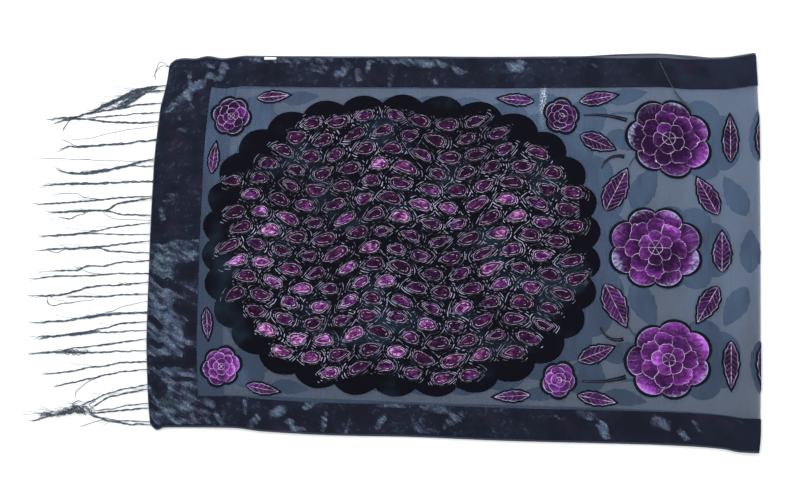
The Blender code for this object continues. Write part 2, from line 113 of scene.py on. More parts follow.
TURN_X = FOLD_X - TURN_INSET
UPPER_FLAT = TURN_X - END_X
TURN_ARC = math.pi * TURN_RADIUS
UNDER_FLAT = UPPER_FLAT - UNDER_SETBACK
HALF_CUT = (UPPER_FLAT + TURN_ARC + UNDER_FLAT) / 2
UPPER_START = HALF_CUT - UPPER_FLAT  # q where the upper stretch meets the turn
UNDER_START = UPPER_START - TURN_ARC

GROUND_CELL = 0.004
TURN_CELLS = 14
CHIFFON_DEEP = (0.028, 0.048, 0.090, 1)
CHIFFON_PALE = (0.062, 0.104, 0.186, 1)
# A painted highlight for the crease near the fold, where the sheer cloth catches the light.
CHIFFON_CREASE_HIGHLIGHT = (0.70, 0.76, 0.80, 1)
CHIFFON_COVER = 0.53
CREASE_Q, CREASE_V, CREASE_HALF_LENGTH, CREASE_HALF_WIDTH = 0.257, 0.184, 0.026, 0.0040
CREASE_WANDER = 0.004

# Patches of the cloth's face, here where the sheer cloth catches the light.
PATCH = "q v heading length width laid"
GLEAMS = table(
    PATCH,
    (0.235, 0.190, 90, 0.032, 0.040, 0.55), (0.060, 0.130, 92, 0.100, 0.016, 0.40),
    (0.020, -0.020, 88, 0.120, 0.012, 0.30), (0.655, -0.182, 70, 0.018, 0.018, 0.70),
    (0.640, 0.120, 96, 0.060, 0.020, 0.30),
)


def smooth_step(t):
    """3t^2 - 2t^3 between 0 and 1, held level outside."""
    t = np.clip(t, 0, 1)
    return t * t * (3 - 2 * t)


def through(rows, key, value, at):
    """Cubic pieces through the rows, each row's slope the harmonic mean of its two chords' slopes."""
    xs = np.array([getattr(row, key) for row in rows])
    ys = np.array([getattr(row, value) for row in rows])
    chord = np.diff(ys) / np.diff(xs)
    before, after = chord[:-1], chord[1:]
    same_way = before * after > 0
    mean = 2 * before * after / np.where(same_way, before + after, 1)
    slopes = np.concatenate([chord[:1], np.where(same_way, mean, 0), chord[-1:]])
    at = np.clip(at, xs[0], xs[-1])
    i = np.clip(np.searchsorted(xs, at, side="right") - 1, 0, len(xs) - 2)
    step = xs[i + 1] - xs[i]
    t = (at - xs[i]) / step
    held = (1 + 2 * t) * (1 - t) ** 2 * ys[i] + t * t * (3 - 2 * t) * ys[i + 1]
    return held + step * t * (1 - t) * ((1 - t) * slopes[i] - t * slopes[i + 1])


def across(edges, x, share):
    """Plan y: the near edge at this x, plus the share of the width there."""
    near = through(edges, "x", "near", x)
    return near + share * (through(edges, "x", "far", x) - near)


def mounds(rows, x, y, power):
    """Sum over the rows of amount times exp(-(along / length)^4 - (aside / width)^power)."""
    total = np.zeros_like(x + y)
    for at_x, at_y, heading, length, width, amount in rows:
        turn = math.radians(heading)
        along = (x - at_x) * math.cos(turn) + (y - at_y) * math.sin(turn)
        aside = (y - at_y) * math.cos(turn) - (x - at_x) * math.sin(turn)
        total += amount * np.exp(-((along / length) ** 4) - (aside / width) ** power)
    return total


def vectors(x, y=0, z=0):
    """Three numbers for each point."""
    return np.stack(np.broadcast_arrays(x, y, z), -1)


def lie(q, v, rise):
    """Points of the cloth. The upper stretch is level at rest, raised by its ridges, and climbs to the turn's
    top by a smooth step; the turn is a half circle; the under stretch is level. Rise adds along the
    cloth's normal."""
    q, v, rise = np.broadcast_arrays(np.asarray(q, float), v, rise)
    s = HALF_CUT - q
    share = 0.5 + v / WIDTH
    end = END_X + through(END_EDGE, "share", "x", share)
    turn = TURN_X + through(FOLD_EDGE, "share", "x", share)
    angle = np.clip((s - UPPER_FLAT) / TURN_RADIUS, 0, math.pi)
    upper_x = end + np.minimum(s, UPPER_FLAT) / UPPER_FLAT * (turn - end)
    past = np.clip(s - UPPER_FLAT - TURN_ARC, 0, None)
    under_x = turn - past / UNDER_FLAT * (turn - end - UNDER_SETBACK)
    on_under = s > UPPER_FLAT + TURN_ARC / 2
    x = np.where(on_under, under_x, upper_x)
    y = np.where(on_under, across(UNDER_EDGES, x, share), across(UPPER_EDGES, x, share))
    drawn = across(UPPER_EDGES, turn, share) - across(UNDER_EDGES, turn, share)
    y = np.where(past > 0, y + drawn * smooth_step(1 - past / TURN_REACH), y)
    climbed = smooth_step((x - TURN_X + TURN_REACH) / TURN_REACH)
    held_up = STRAND_LIFT * (1 - smooth_step((x - END_X - UNDER_SETBACK) / SETTLE_REACH))
    rest = UPPER_REST + mounds(RIDGES, x, y, 2) + held_up
    level = rest + (TURN_LIFT + TURN_RADIUS - rest) * climbed
    z = np.where(angle > 0, TURN_LIFT + TURN_RADIUS * np.cos(angle), level)
    return vectors(x + (TURN_RADIUS + rise) * np.sin(angle), y, z + rise * np.cos(angle))


def operation(name):
    """A Math node's operation as a method of a tone, and the same with its terms the other way round."""
    def plain(self, *others):
        return self.math(name, self, *others)

    def reflected(self, other):
        return self.math(name, other, self)

    return plain, reflected


class Tone:
    """A shader value in an expression: arithmetic on tones adds Math nodes, node() adds any other node."""

    __add__, __radd__ = operation("ADD")
    __sub__, __rsub__ = operation("SUBTRACT")
    __mul__, __rmul__ = operation("MULTIPLY")
    __truediv__, __rtruediv__ = operation("DIVIDE")
    __mod__, __rmod__ = operation("FLOORED_MODULO")
    __pow__, __rpow__ = operation("POWER")
    __lt__ = operation("LESS_THAN")[0]
    __gt__ = operation("GREATER_THAN")[0]
    __abs__ = operation("ABSOLUTE")[0]
    floor = operation("FLOOR")[0]
    sine = operation("SINE")[0]
    cosine = operation("COSINE")[0]
    larger = operation("MAXIMUM")[0]
    bearing = operation("ARCTAN2")[0]

    def __init__(self, material, socket=None):
        self.material, self.socket = material, socket

    def fill(self, node, values):
        """Sets or links a node's sockets, each found by its name or place."""
        for key, value in values.items():
            if isinstance(value, Tone):
                self.material.node_tree.links.new(value.socket, node.inputs[key])
            else:
                node.inputs[key].default_value = value

    def node(self, kind, settings, values, *outs):
        """Adds a node of this kind, its settings first and then its sockets, and gives each output named."""
        made = self.material.node_tree.nodes.new("ShaderNode" + kind)
        for key, value in settings.items():
            setattr(made, key, value)
        self.fill(made, values)
        tones = [Tone(self.material, made.outputs[out]) for out in outs or (0,)]
        return tones if len(tones) > 1 else tones[0]

    def finish(self, values):
        """Fills the sockets of the material's shader and gives the material."""
        self.fill(self.material.node_tree.nodes["Principled BSDF"], values)
        return self.material

    def math(self, name, *terms):
        """One operation on up to three terms."""
        return self.node("Math", {"operation": name}, dict(enumerate(terms)))

    def ramp(self, low, high):
        """Smooth step from 0 at low to 1 at high."""
        sizes = {"Value": self, "From Min": low, "From Max": high}
        return self.node("MapRange", {"interpolation_type": "SMOOTHSTEP"}, sizes)

    def stroke(self, half):
        """1 where this distance is nearer to 0 than half a line's width, with a soft edge."""
        return 1 - abs(self).ramp(0.5 * half, 1.5 * half)

    def blend(self, plain, full):
        """Colour between plain, where this tone is 0, and full, where it is 1."""
        return self.node("Mix", {"data_type": "RGBA"}, {0: self, 6: plain, 7: full}, 2)

    def noise(self, scale, detail=2.0, roughness=0.5):
        """Fractal noise at this place, about 0 to 1 round 0.5."""
        sizes = {"Vector": self, "Scale": scale, "Detail": detail, "Roughness": roughness}
        return self.node("TexNoise", {}, sizes)

    def stretch(self, x, y):
        """This place with its sides scaled, which draws a pattern out along the smaller."""
        return self.node("VectorMath", {"operation": "MULTIPLY"}, {0: self, 1: (x, y, 1)})

    def read(self, name):
        """The three numbers that each point of the piece has under this name."""
        return self.node("Attribute", {"attribute_name": name}, {}, "Vector")

    def parts(self):
        """The three numbers of this place or colour."""
        return self.node("SeparateXYZ", {}, {0: self}, "X", "Y", "Z")

    def joined(self, y, z):
        """A place from this tone and two more numbers."""
        return self.node("CombineXYZ", {}, {0: self, 1: y, 2: z})

    def dice(self, y, z):
        """Three random numbers from 0 to 1, the same wherever this tone, y and z are the same."""
        return self.node("TexWhiteNoise", {}, {"Vector": self.joined(y, z)}, "Color").parts()

    def bump(self, strength, distance):
        """The normals of a surface with this tone as its height."""
        return self.node("Bump", {}, {"Height": self, "Strength": strength, "Distance": distance}, "Normal")


def new_finish(name):
    """The tone that a new material's nodes start from."""
    material = bpy.data.materials.new(name)
    material.use_nodes = True
    return Tone(material)


def piece_of(name, points, faces, material, attributes, closed=True):
    """A finished piece from its points and faces, with its named per-point vectors, riding on the scarf.
    Points that no face uses are dropped. A closed piece is turned to face outwards by its volume's sign."""
    used, faces = np.unique(faces, return_inverse=True)
    faces = faces.reshape(-1, 3 if closed else 4)
    points = points.reshape(-1, 3)[used]
    a, b, c = (points[faces[:, k]] for k in range(3))
    if closed and np.einsum("ij,ij->", a, np.cross(b, c)) < 0:
        faces = faces[:, ::-1]
    mesh = bpy.data.meshes.new(name)
    mesh.from_pydata(points.tolist(), [], faces.tolist())
    for key, value in attributes.items():
        made = mesh.attributes.new(key, "FLOAT_VECTOR", "POINT")
        made.data.foreach_set("vector", value.reshape(-1, 3)[used].reshape(-1).astype(np.float32))
    mesh.materials.append(material)
    mesh.shade_smooth()
    piece = bpy.data.objects.new(name, mesh)
    bpy.context.scene.collection.objects.link(piece)
    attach(piece, "root")
    return piece


def grid(rows, columns):
    """Each row's value with each column's, as two arrays."""
    return np.meshgrid(rows, columns, indexing="ij")


def cells(rows, columns, ring=False, welds=0):
    """Quads of a grid whose points run row by row; in a ring the last column joins the first. With 1 weld the
    first row is one point, and with 2 the last row is too."""
    i, j = grid(np.arange(rows - 1), np.arange(columns if ring else columns - 1))
    k = (j + 1) % columns
    corners = [i * columns + j, i * columns + k, (i + 1) * columns + k, (i + 1) * columns + j]
    quads = np.stack(corners, -1).reshape(-1, 4)
    if welds > 0:
        quads = np.where(quads < columns, 0, quads)
    return np.minimum(quads, (rows - 1) * columns) if welds > 1 else quads


def stations(low, high, cell):
    """Evenly spaced places from low to high, about a cell apart."""
    return np.linspace(low, high, max(2, int(round((high - low) / cell)) + 1))


turn_stations = np.linspace(UNDER_START, UPPER_START, TURN_CELLS + 1)[1:-1]


def whole_length(cell):
    """Places from end to end of the cloth, about a cell apart, and closer round the turn."""
    return np.concatenate([stations(-HALF_CUT, UNDER_START, cell), turn_stations,
                           stations(UPPER_START, HALF_CUT, cell)])


place = new_finish("chiffon").read("cloth")
at_q, at_v, _ = place.parts()
crepe = place.stretch(1.0, 1.6).noise(1900, 2)
slub = place.stretch(1.8, 0.12).noise(230, 3)
cloudy = place.stretch(1.0, 0.6).noise(20, 4, 0.6)
# A painted highlight along the crease near the fold: glinting, brighter towards its far end, and less sheer
# there.
sparkle = place.stretch(1.0, 2.5).noise(420, 3).ramp(0.46, 0.62)
wander = CREASE_WANDER * (place.noise(40, 1) - 0.5)
crease_highlight = (at_q - CREASE_Q + wander).stroke(CREASE_HALF_WIDTH) * (at_v - CREASE_V).stroke(CREASE_HALF_LENGTH)
crease_highlight = crease_highlight * sparkle * (0.3 + 0.7 * at_v.ramp(CREASE_V - 0.016, CREASE_V + 0.014))
cover = CHIFFON_COVER + 0.08 * abs(at_q) + 0.12 * (cloudy - 0.5) + 0.12 * (slub - 0.5) + 0.10 * (crepe - 0.5)
gleam, _, _ = place.read("gleam").parts()
pale = 0.52 + 1.5 * at_v - 0.5 * abs(at_q) + 1.5 * (cloudy - 0.5) + (slub - 0.5) + gleam
colour = crease_highlight.blend(pale.ramp(0.0, 1.0).blend(CHIFFON_DEEP, CHIFFON_PALE), CHIFFON_CREASE_HIGHLIGHT)
chiffon = place.finish({"Base Color": colour, "Alpha": cover + 0.35 * crease_highlight, "Roughness": 0.62,
                        "Specular IOR Level": 0.25, "Sheen Weight": 0.15,
                        "Normal": (crepe + slub).bump(0.35, 0.0004)})

q, v = grid(whole_length(GROUND_CELL), stations(-WIDTH / 2, WIDTH / 2, GROUND_CELL))
attributes = {"cloth": vectors(q, v), "gleam": vectors(mounds(GLEAMS, q, v, 4))}
ground = piece_of("chiffon_ground", lie(q, v, 0), cells(*q.shape), chiffon, attributes,
                  closed=False)
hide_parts("upper_layer", "fold_turn", "under_layer")


# The velvet border: rayon pile left standing on the ground in a frame round the cloth. It is blue-black, with
# a painted sheen, pale and blue-grey, where the nap was crushed over while the scarf was packed.
FRAME_SIDE = 0.042
FRAME_END = 0.068
HEM_WIDTH = 0.0026
PILE_TOP = 0.0008
PILE_FOOT = 0.0001
SHOULDER = 0.0010  # width over which a patch of pile rounds off at its edge
EDGE_HEIGHT = 0.3  # share of the pile's height that stands at its very edge
SHOULDER_LINES = (0.3, 1.0)  # shares of a shoulder's width where the mesh has lines along it
BORDER_ALONG, BORDER_ACROSS = 0.0028, 0.0030
BRUSH_HEADING = math.radians(-32)

NAVY = (0.0068, 0.0086, 0.0185, 1)
NAVY_DEEP = (0.0035, 0.0045, 0.0100, 1)
# The far side of the border, painted lighter as the light falls from there.
NAVY_FAR_LIT = (0.0106, 0.0136, 0.0280, 1)
# Painted sheen where the nap is laid, in blue-grey, teal and mauve, and a painted highlight where it is
# crushed.
NAVY_LAID_SHEEN = (0.060, 0.086, 0.142, 1)
NAVY_TEAL_SHEEN = (0.052, 0.090, 0.114, 1)
NAVY_CRUSHED_HIGHLIGHT = (0.230, 0.285, 0.345, 1)
NAVY_MAUVE_SHEEN = (0.062, 0.062, 0.108, 1)
NAVY_PLUM = (0.016, 0.009, 0.027, 1)
BACKING = (0.030, 0.034, 0.055, 1)
BORDER_SHEEN = {"Specular IOR Level": 0.10, "Sheen Weight": 0.12, "Sheen Tint": (0.50, 0.62, 0.90, 1)}
TUFT_SCALE = 2600

# The near half of the end border is pressed flat, as far as the line that the scarf was packed along, and has
# the painted sheen of laid nap.
PRESSED = table(PATCH, (0.742, -0.100, 90, 0.125, 0.042, 0.80))
PRESS_LINE, PRESS_EDGE = 0.003, 0.003

# Where else the nap is laid over and has painted sheen, or held down dark where laid is below 0.
PATCHES = table(
    PATCH,
    # far corner of the end
    (0.764, 0.189, -10, 0.008, 0.005, 0.9), (0.755, 0.187, 0, 0.007, 0.003, 0.6),
    (0.746, 0.197, -20, 0.009, 0.006, 1.1), (0.737, 0.202, 60, 0.008, 0.005, 0.9),
    (0.730, 0.212, -15, 0.012, 0.007, 1.2), (0.742, 0.217, 20, 0.005, 0.003, 0.6),
    (0.743, 0.229, 80, 0.007, 0.003, 0.8), (0.713, 0.224, 10, 0.007, 0.004, 0.9),
    (0.703, 0.222, -30, 0.006, 0.003, 0.7), (0.698, 0.230, 70, 0.010, 0.005, 0.8),
    (0.716, 0.237, 0, 0.008, 0.003, 0.7), (0.697, 0.239, 80, 0.007, 0.006, 1.0),
    (0.733, 0.188, 60, 0.010, 0.003, 0.4), (0.747, 0.170, 90, 0.006, 0.004, 0.5),
    (0.740, 0.152, 0, 0.009, 0.004, 0.45), (0.750, 0.129, 0, 0.010, 0.004, 0.4),
    # end border, far half
    (0.748, 0.060, 20, 0.014, 0.010, 0.35), (0.760, 0.040, 80, 0.014, 0.006, 0.35),
    (0.735, 0.020, 0, 0.020, 0.004, 0.25),
    # pile that stayed up
    (0.724, -0.045, 90, 0.014, 0.017, -1.5), (0.737, -0.064, 29, 0.034, 0.006, -1.3),
    (0.723, -0.094, 35, 0.019, 0.009, -1.4), (0.716, -0.121, 90, 0.011, 0.009, -1.5),
    (0.764, -0.108, 30, 0.012, 0.004, -1.2), (0.763, -0.137, 10, 0.012, 0.004, -1.2),
    (0.716, -0.157, 90, 0.014, 0.010, -1.6), (0.750, -0.163, 2, 0.025, 0.007, -1.3),
    (0.763, -0.193, 60, 0.014, 0.009, -1.2), (0.728, -0.186, 0, 0.014, 0.003, -0.8),
    # near border, from the end to the fold
    (0.726, -0.228, 10, 0.040, 0.012, 0.30), (0.760, -0.235, 0, 0.020, 0.008, 0.35),
    (0.720, -0.243, 0, 0.040, 0.004, 0.35), (0.693, -0.219, 30, 0.009, 0.005, 0.9),
    (0.680, -0.240, 55, 0.010, 0.003, 0.9), (0.644, -0.220, 90, 0.014, 0.003, 0.6),
    (0.632, -0.239, 130, 0.012, 0.005, 0.8), (0.600, -0.225, 150, 0.014, 0.006, 1.0),
    (0.584, -0.237, 20, 0.007, 0.005, 0.8), (0.576, -0.246, 0, 0.014, 0.004, 0.8),
    (0.556, -0.212, 150, 0.012, 0.005, 0.7), (0.538, -0.234, 100, 0.014, 0.004, 0.8),
    (0.508, -0.241, 110, 0.014, 0.003, 0.6), (0.466, -0.236, 130, 0.014, 0.004, 0.7),
    (0.443, -0.212, 0, 0.024, 0.003, 0.7), (0.410, -0.234, 100, 0.012, 0.006, 0.4),
    (0.386, -0.214, 10, 0.024, 0.006, 0.7), (0.368, -0.228, 150, 0.016, 0.006, 0.6),
    (0.404, -0.242, 10, 0.016, 0.005, 0.5), (0.317, -0.236, 90, 0.012, 0.008, 0.25),
    (0.231, -0.220, 0, 0.012, 0.005, 0.3), (0.199, -0.216, 10, 0.014, 0.006, 0.5),
    (0.177, -0.235, 60, 0.013, 0.006, 0.9), (0.106, -0.224, 25, 0.013, 0.007, 0.9),
    (0.078, -0.237, 40, 0.011, 0.004, 0.6), (0.062, -0.225, 60, 0.010, 0.003, 0.5),
    (0.009, -0.213, 0, 0.010, 0.004, 0.3),
    # far border, from the end to the fold
    (0.655, 0.210, 90, 0.009, 0.005, 0.35), (0.600, 0.246, 0, 0.070, 0.004, 0.6),
    (0.565, 0.234, 10, 0.020, 0.006, 0.5), (0.530, 0.231, 140, 0.014, 0.006, 0.9),
    (0.507, 0.226, 70, 0.010, 0.006, 0.7), (0.496, 0.234, 100, 0.010, 0.003, 0.8),
    (0.463, 0.218, 90, 0.010, 0.004, 0.6), (0.450, 0.245, 0, 0.050, 0.005, 0.5),
    (0.412, 0.241, 0, 0.030, 0.005, 0.6), (0.401, 0.221, 90, 0.009, 0.004, 0.5),
    (0.371, 0.231, 20, 0.012, 0.005, 0.6), (0.296, 0.238, 0, 0.013, 0.008, 1.1),
    (0.250, 0.244, 0, 0.030, 0.003, 0.3), (0.192, 0.239, 20, 0.006, 0.002, 0.7),
    (0.213, 0.229, 60, 0.005, 0.002, 0.5),
)


def whole_triangles(quads):
    """Two triangles for each quad, less those that have lost a side to a welded point."""
    pair = np.concatenate([quads[:, [0, 1, 2]], quads[:, [0, 2, 3]]])
    a, b, c = pair.T
    return pair[(a != b) & (b != c) & (c != a)]


def closed_patch(quads, count):
    """Triangles of a closed body on two sets of points: the quads on the first set, the same turned over on
    the second, and a wall along each edge that only one triangle has."""
    top = whole_triangles(quads)
    edges = np.concatenate([top[:, [0, 1]], top[:, [1, 2]], top[:, [2, 0]]])
    alone = ~np.isin(edges @ (count, 1), edges @ (1, count))
    a, b = edges[alone].T
    wall = np.concatenate([vectors(b, a, a + count), vectors(b, a + count, b + count)])
    return np.concatenate([top, top[:, ::-1] + count, wall])


def standing_pile(name, q, v, edge, quads, material, attributes, foot=PILE_FOOT, height=PILE_TOP):
    """A closed patch of pile on the ground's points: its foot just clear of the ground, its top raised by the
    pile's height, rounded off over the shoulder by a quarter circle. Its cloth attribute's third number is
    1 on the pile's tips and 0 on the side that is woven in."""
    rounded = np.sqrt(1 - (1 - np.clip(edge / SHOULDER, 0, 1)) ** 2)
    top = lie(q, v, foot + (height - foot) * (EDGE_HEIGHT + (1 - EDGE_HEIGHT) * rounded))
    every = {key: np.stack([value, value]) for key, value in attributes.items()}
    every["cloth"] = np.stack([vectors(np.abs(q), v, 1), vectors(np.abs(q), v, 0)])
    points = np.stack([top, lie(q, v, foot)])
    return piece_of(name, points, closed_patch(quads, q.size), material, every)


def pile_finish(place, colour, relief, strength, distance, sheen):
    """Velvet: this colour on the pile's tips, the backing's on its foot, and a relief broken into tufts."""
    _, _, tips = place.parts()
    normal = (place.noise(TUFT_SCALE, 2) * 0.35 + relief).bump(strength, distance)
    return place.finish({"Base Color": tips.blend(BACKING, colour), "Normal": normal, "Roughness": 0.85,
                         "Sheen Roughness": 0.35, **sheen})


place = new_finish("border_velvet").read("cloth")
at_q, at_v, _ = place.parts()
laid, _, _ = place.read("nap").parts()
brushed = place.node("VectorRotate", {"rotation_type": "Z_AXIS"}, {"Vector": place, "Angle": BRUSH_HEADING})
crushed = brushed.stretch(0.5, 1.3).noise(115, 5, 0.60)
streaked = place.noise(400, 4, 0.8)
woven = place.stretch(1.8, 0.12).noise(700, 2)
soft = place.noise(24, 3, 0.6)
# Painted sheen where the nap is laid, broken by the crushed and streaked noise, with painted highlights where
# these meet, and flecks of the same sheen over the rest, fewer near the fold.
laid_sheen = 0.76 * laid + 2.5 * (crushed - 0.5) + 0.8 * (streaked - 0.5) + 0.9 * (woven - 0.5)
laid_sheen = (laid_sheen * (laid + 0.8 * (crushed - 0.5)).ramp(0.12, 0.44)).ramp(0.00, 1.10)
sheen_flecks = (place.noise(130, 4, 0.7) + 0.40 * (streaked - 0.5) + 0.5 * (soft - 0.5)).ramp(0.54, 0.80)
sheen_flecks = sheen_flecks * at_q.ramp(-0.05, 0.40)
stood = (0 - laid).ramp(0.15, 0.8)
# Painted light: the far side of the border lighter, most near the fold.
far = at_v.ramp(-0.24, 0.24) * (1 - 0.75 * at_q.ramp(0.10, 0.45))
colour = (0.3 + 0.7 * soft.ramp(0.36, 0.62)).blend(NAVY_DEEP, far.blend(NAVY, NAVY_FAR_LIT))
colour = (place.noise(34, 2).ramp(0.52, 0.74) * 0.5).blend(colour, NAVY_PLUM)
colour = (sheen_flecks * 0.45).blend(colour, NAVY_LAID_SHEEN)
nap = place.noise(30, 2).ramp(0.50, 0.70).blend(NAVY_LAID_SHEEN, NAVY_TEAL_SHEEN)
nap = place.stretch(1.0, 1.3).noise(47, 2).ramp(0.52, 0.66).blend(nap, NAVY_MAUVE_SHEEN)
nap = (streaked.ramp(0.43, 0.72) * crushed.ramp(0.44, 0.66)).blend(nap, NAVY_CRUSHED_HIGHLIGHT)
colour = (stood * 0.85).blend(laid_sheen.blend(colour, nap), NAVY_DEEP)
velvet = pile_finish(place, colour, crushed * 1.2 + streaked * 0.5, 0.45, 0.0006, BORDER_SHEEN)

shoulders = np.array(SHOULDER_LINES) * SHOULDER
outer, inner = WIDTH / 2 - HEM_WIDTH, WIDTH / 2 - FRAME_SIDE
end_line = HALF_CUT - FRAME_END
side_band = np.concatenate([stations(inner, outer, BORDER_ACROSS), inner + shoulders, outer - shoulders])
half_lines = np.unique(np.concatenate([stations(0, inner, BORDER_ACROSS), side_band]))
end_band = np.concatenate([stations(end_line, HALF_CUT, BORDER_ALONG), end_line + shoulders,
                           HALF_CUT - shoulders])
along_lines = [-end_band, stations(-end_line, UNDER_START, BORDER_ALONG), turn_stations,
               stations(UPPER_START, end_line, BORDER_ALONG), end_band]
q, v = grid(np.unique(np.concatenate(along_lines)), np.concatenate([-half_lines[:0:-1], half_lines]))
to_outside = np.minimum(outer - np.abs(v), HALF_CUT - np.abs(q))
edge = np.minimum(to_outside, np.maximum(np.abs(v) - inner, np.abs(q) - end_line))
quads = cells(*q.shape)
middle_q, middle_v = q.ravel()[quads].mean(1), v.ravel()[quads].mean(1)
kept = (np.abs(middle_v) < outer) & ((np.abs(middle_v) > inner) | (np.abs(middle_q) > end_line))
laid = mounds(PATCHES, q, v, 4) + mounds(PRESSED, q, v, 4) * smooth_step((PRESS_LINE - v) / PRESS_EDGE)
nap = vectors(np.clip(laid, -1, 1))
standing_pile("velvet_border", q, v, edge, quads[kept], velvet, {"nap": nap})


# The medallion: a scalloped oval field of black pile, one on each stretch, printed with rows of plum paisley
# drops in silvery broken outlines, with short silvery strokes round them.
MEDALLION_Q = 0.443
MEDALLION_HALF_LENGTH = 0.262
MEDALLION_HALF_WIDTH = 0.200
MEDALLION_POWER = 2.5
SCALLOPS = 30
SCALLOP_DEPTH = 0.011
SCALLOP_ROUNDNESS = 0.8
POINTS_PER_SCALLOP = 12
MEDALLION_RINGS = 54
RING_CROWDING = 1.15  # more than 1 draws the rings together near the edge

DROP_ROW, DROP_COLUMN = 0.0222, 0.0375  # spacing across and along
DROP_REACH = 0.0190  # from the middle of a drop's round end to its tip
DROP_ROUND = 0.46  # share of the reach that its round end takes
DROP_SLIMNESS = 1.10
DROP_BEND = 8.0  # metres aside for each square metre of reach
STROKE_PITCH = 0.0030  # between the strokes round a drop
STROKE_REACH = 0.0105
STROKE_HALF = 0.00036
DRIFT_Q, DRIFT_Q_WAVE = 0.007, 0.19
DRIFT_V, DRIFT_V_WAVE = 0.007, 0.17
DROP_STRAY = 0.012
DROP_MARGIN = 0.022  # from the field's edge to the middle of the last drops
LINE_HALF = 0.00048

BLACK = (0.0016, 0.0014, 0.0042, 1)
# Painted sheen in patches on the black pile:
BLACK_SHEEN = (0.010, 0.020, 0.034, 1)
PLUM_DARK = (0.010, 0.002, 0.012, 1)
SILVER = (0.680, 0.580, 0.750, 1)
SILVER_BLUE = (0.480, 0.460, 0.640, 1)
# The plum piles run from their darkest colour to a painted highlight.
WINE_PILE = (PLUM_DARK, (0.034, 0.006, 0.042, 1), (0.120, 0.024, 0.150, 1), (0.500, 0.220, 0.560, 1))
RED_PILE = (PLUM_DARK, (0.036, 0.007, 0.030, 1), (0.140, 0.026, 0.098, 1), (0.520, 0.220, 0.480, 1))
PATTERN_SHEEN = {"Specular IOR Level": 0.07, "Sheen Weight": 0.05, "Sheen Tint": (0.70, 0.66, 0.90, 1)}


def pattern_start(name):
    """A patterned velvet's place on the cloth, where its lines are broken, and its mottled pile."""
    place = new_finish(name).read("cloth")
    return place, place.noise(620, 3, 0.6).ramp(0.40, 0.54), place.stretch(0.8, 1.3).noise(190, 4, 0.65)


def pile_scale(light, pile):
    """From the first of a pile's four colours to the last, a painted highlight, as this tone goes from 0 to
    1.
    """
    colour = light.ramp(0.00, 0.40).blend(pile[0], pile[1])
    colour = light.ramp(0.35, 0.75).blend(colour, pile[2])
    return light.ramp(0.72, 1.05).blend(colour, pile[3])


place, broken, mottle = pattern_start("medallion_velvet")
at_q, at_v, _ = place.parts()
turns_q, turns_v = 2 * math.pi / DRIFT_Q_WAVE, 2 * math.pi / DRIFT_V_WAVE
u = at_q + DRIFT_Q * (at_v * turns_q).sine() + DROP_STRAY * (place.noise(21, 1, 0.4) - 0.5)
w = at_v + DRIFT_V * (at_q * turns_v).sine()
row = (w / DROP_ROW).floor()
shift, _, _ = row.dice(0.5, 0.5)
shift = 0.5 * (row % 2) + 0.30 * shift
column = (u / DROP_COLUMN + shift).floor()
chance, size_chance, tone_chance = column.dice(row, 0.5)
slide, turned, streak_chance = column.dice(row, 1.5)
middle_u = (column + 0.5 - shift + 0.16 * (slide - 0.5)) * DROP_COLUMN
middle_w = (row + 0.5) * DROP_ROW
centre_q = middle_u - DRIFT_Q * (middle_w * turns_q).sine()
centre_v = middle_w - DRIFT_V * (middle_u * turns_v).sine()
from_centre = abs((centre_q - MEDALLION_Q) / (MEDALLION_HALF_LENGTH - DROP_MARGIN)) ** MEDALLION_POWER
whole = from_centre + abs(centre_v / (MEDALLION_HALF_WIDTH - DROP_MARGIN)) ** MEDALLION_POWER < 1
swing = 0.60 * (chance - 0.5)
facing = 1 - 2 * (turned < 0.35)
ahead = facing * ((u - middle_u) * swing.cosine() + (w - middle_w) * swing.sine()) + 0.20 * DROP_REACH
aside = facing * ((w - middle_w) * swing.cosine() - (u - middle_u) * swing.sine())
aside = DROP_SLIMNESS * (aside + DROP_BEND * ahead * ahead - 0.0008)
reach = (ahead * ahead + aside * aside) ** 0.5 + 1e-6
bearing = aside.bearing(ahead)
profile = DROP_ROUND + (1 - DROP_ROUND) * (1 - abs((bearing / 2).sine())) ** 3
outline = DROP_REACH * (0.84 + 0.18 * size_chance) * profile
inside = (reach / outline - 1) * outline * 0.85 + 0.0010 * (place.noise(330, 2) - 0.5)
faded = place.noise(110, 2, 0.6).ramp(0.30, 0.62)
lines = (inside + 0.0003).stroke(0.60 * LINE_HALF) * (0.12 + 0.88 * faded) * (0.22 + 0.78 * broken)
hooked = (bearing * 1.2).joined(chance * 40, 7.0).noise(1.0, 1).ramp(0.48, 0.56)
eye = (inside + 0.0024 + 0.0016 * size_chance).stroke(0.6 * LINE_HALF) * hooked
lines = lines.larger(eye * 0.9)
ring = (inside / STROKE_PITCH).floor()
at_tips = abs(bearing.cosine()).ramp(0.50, 0.90)
gaps = (bearing * 2.6).joined(ring * 5.3, chance * 40).noise(1.0, 1).ramp(0.46, 0.54)
strokes = (inside - (ring + 0.5) * STROKE_PITCH).stroke(STROKE_HALF) * gaps
strokes = strokes * (0.12 + 0.88 * at_tips) * (0.3 + 0.7 * faded)
strokes = strokes * inside.ramp(0.0006, 0.0012) * (1 - inside.ramp(0.8 * STROKE_REACH, STROKE_REACH))
# Painted sheen and light: large patches of sheen, and more light towards the near side and the end, over each
# drop's own tone; the nap's streaks give painted highlights in the fill, and the strokes shine more under the
# sheen.
sheen_glow = place.noise(9, 2)
bright = (tone_chance + 1.1 * (sheen_glow - 0.5) - 0.32 - 1.3 * at_v + 0.5 * at_q).ramp(0.40, 1.05)
nap = (ahead * 0.8).joined(aside * 1.8, chance * 9).noise(270, 5, 0.72)
light = 0.02 + 0.62 * bright + 2.9 * (nap - 0.5) + 1.3 * (place.noise(80, 1) - 0.5) + 0.16 * streak_chance
filled = (0 - inside).ramp(0.0010, 0.0022) * whole
edged = (0 - inside).ramp(0.0002, 0.0008) * whole
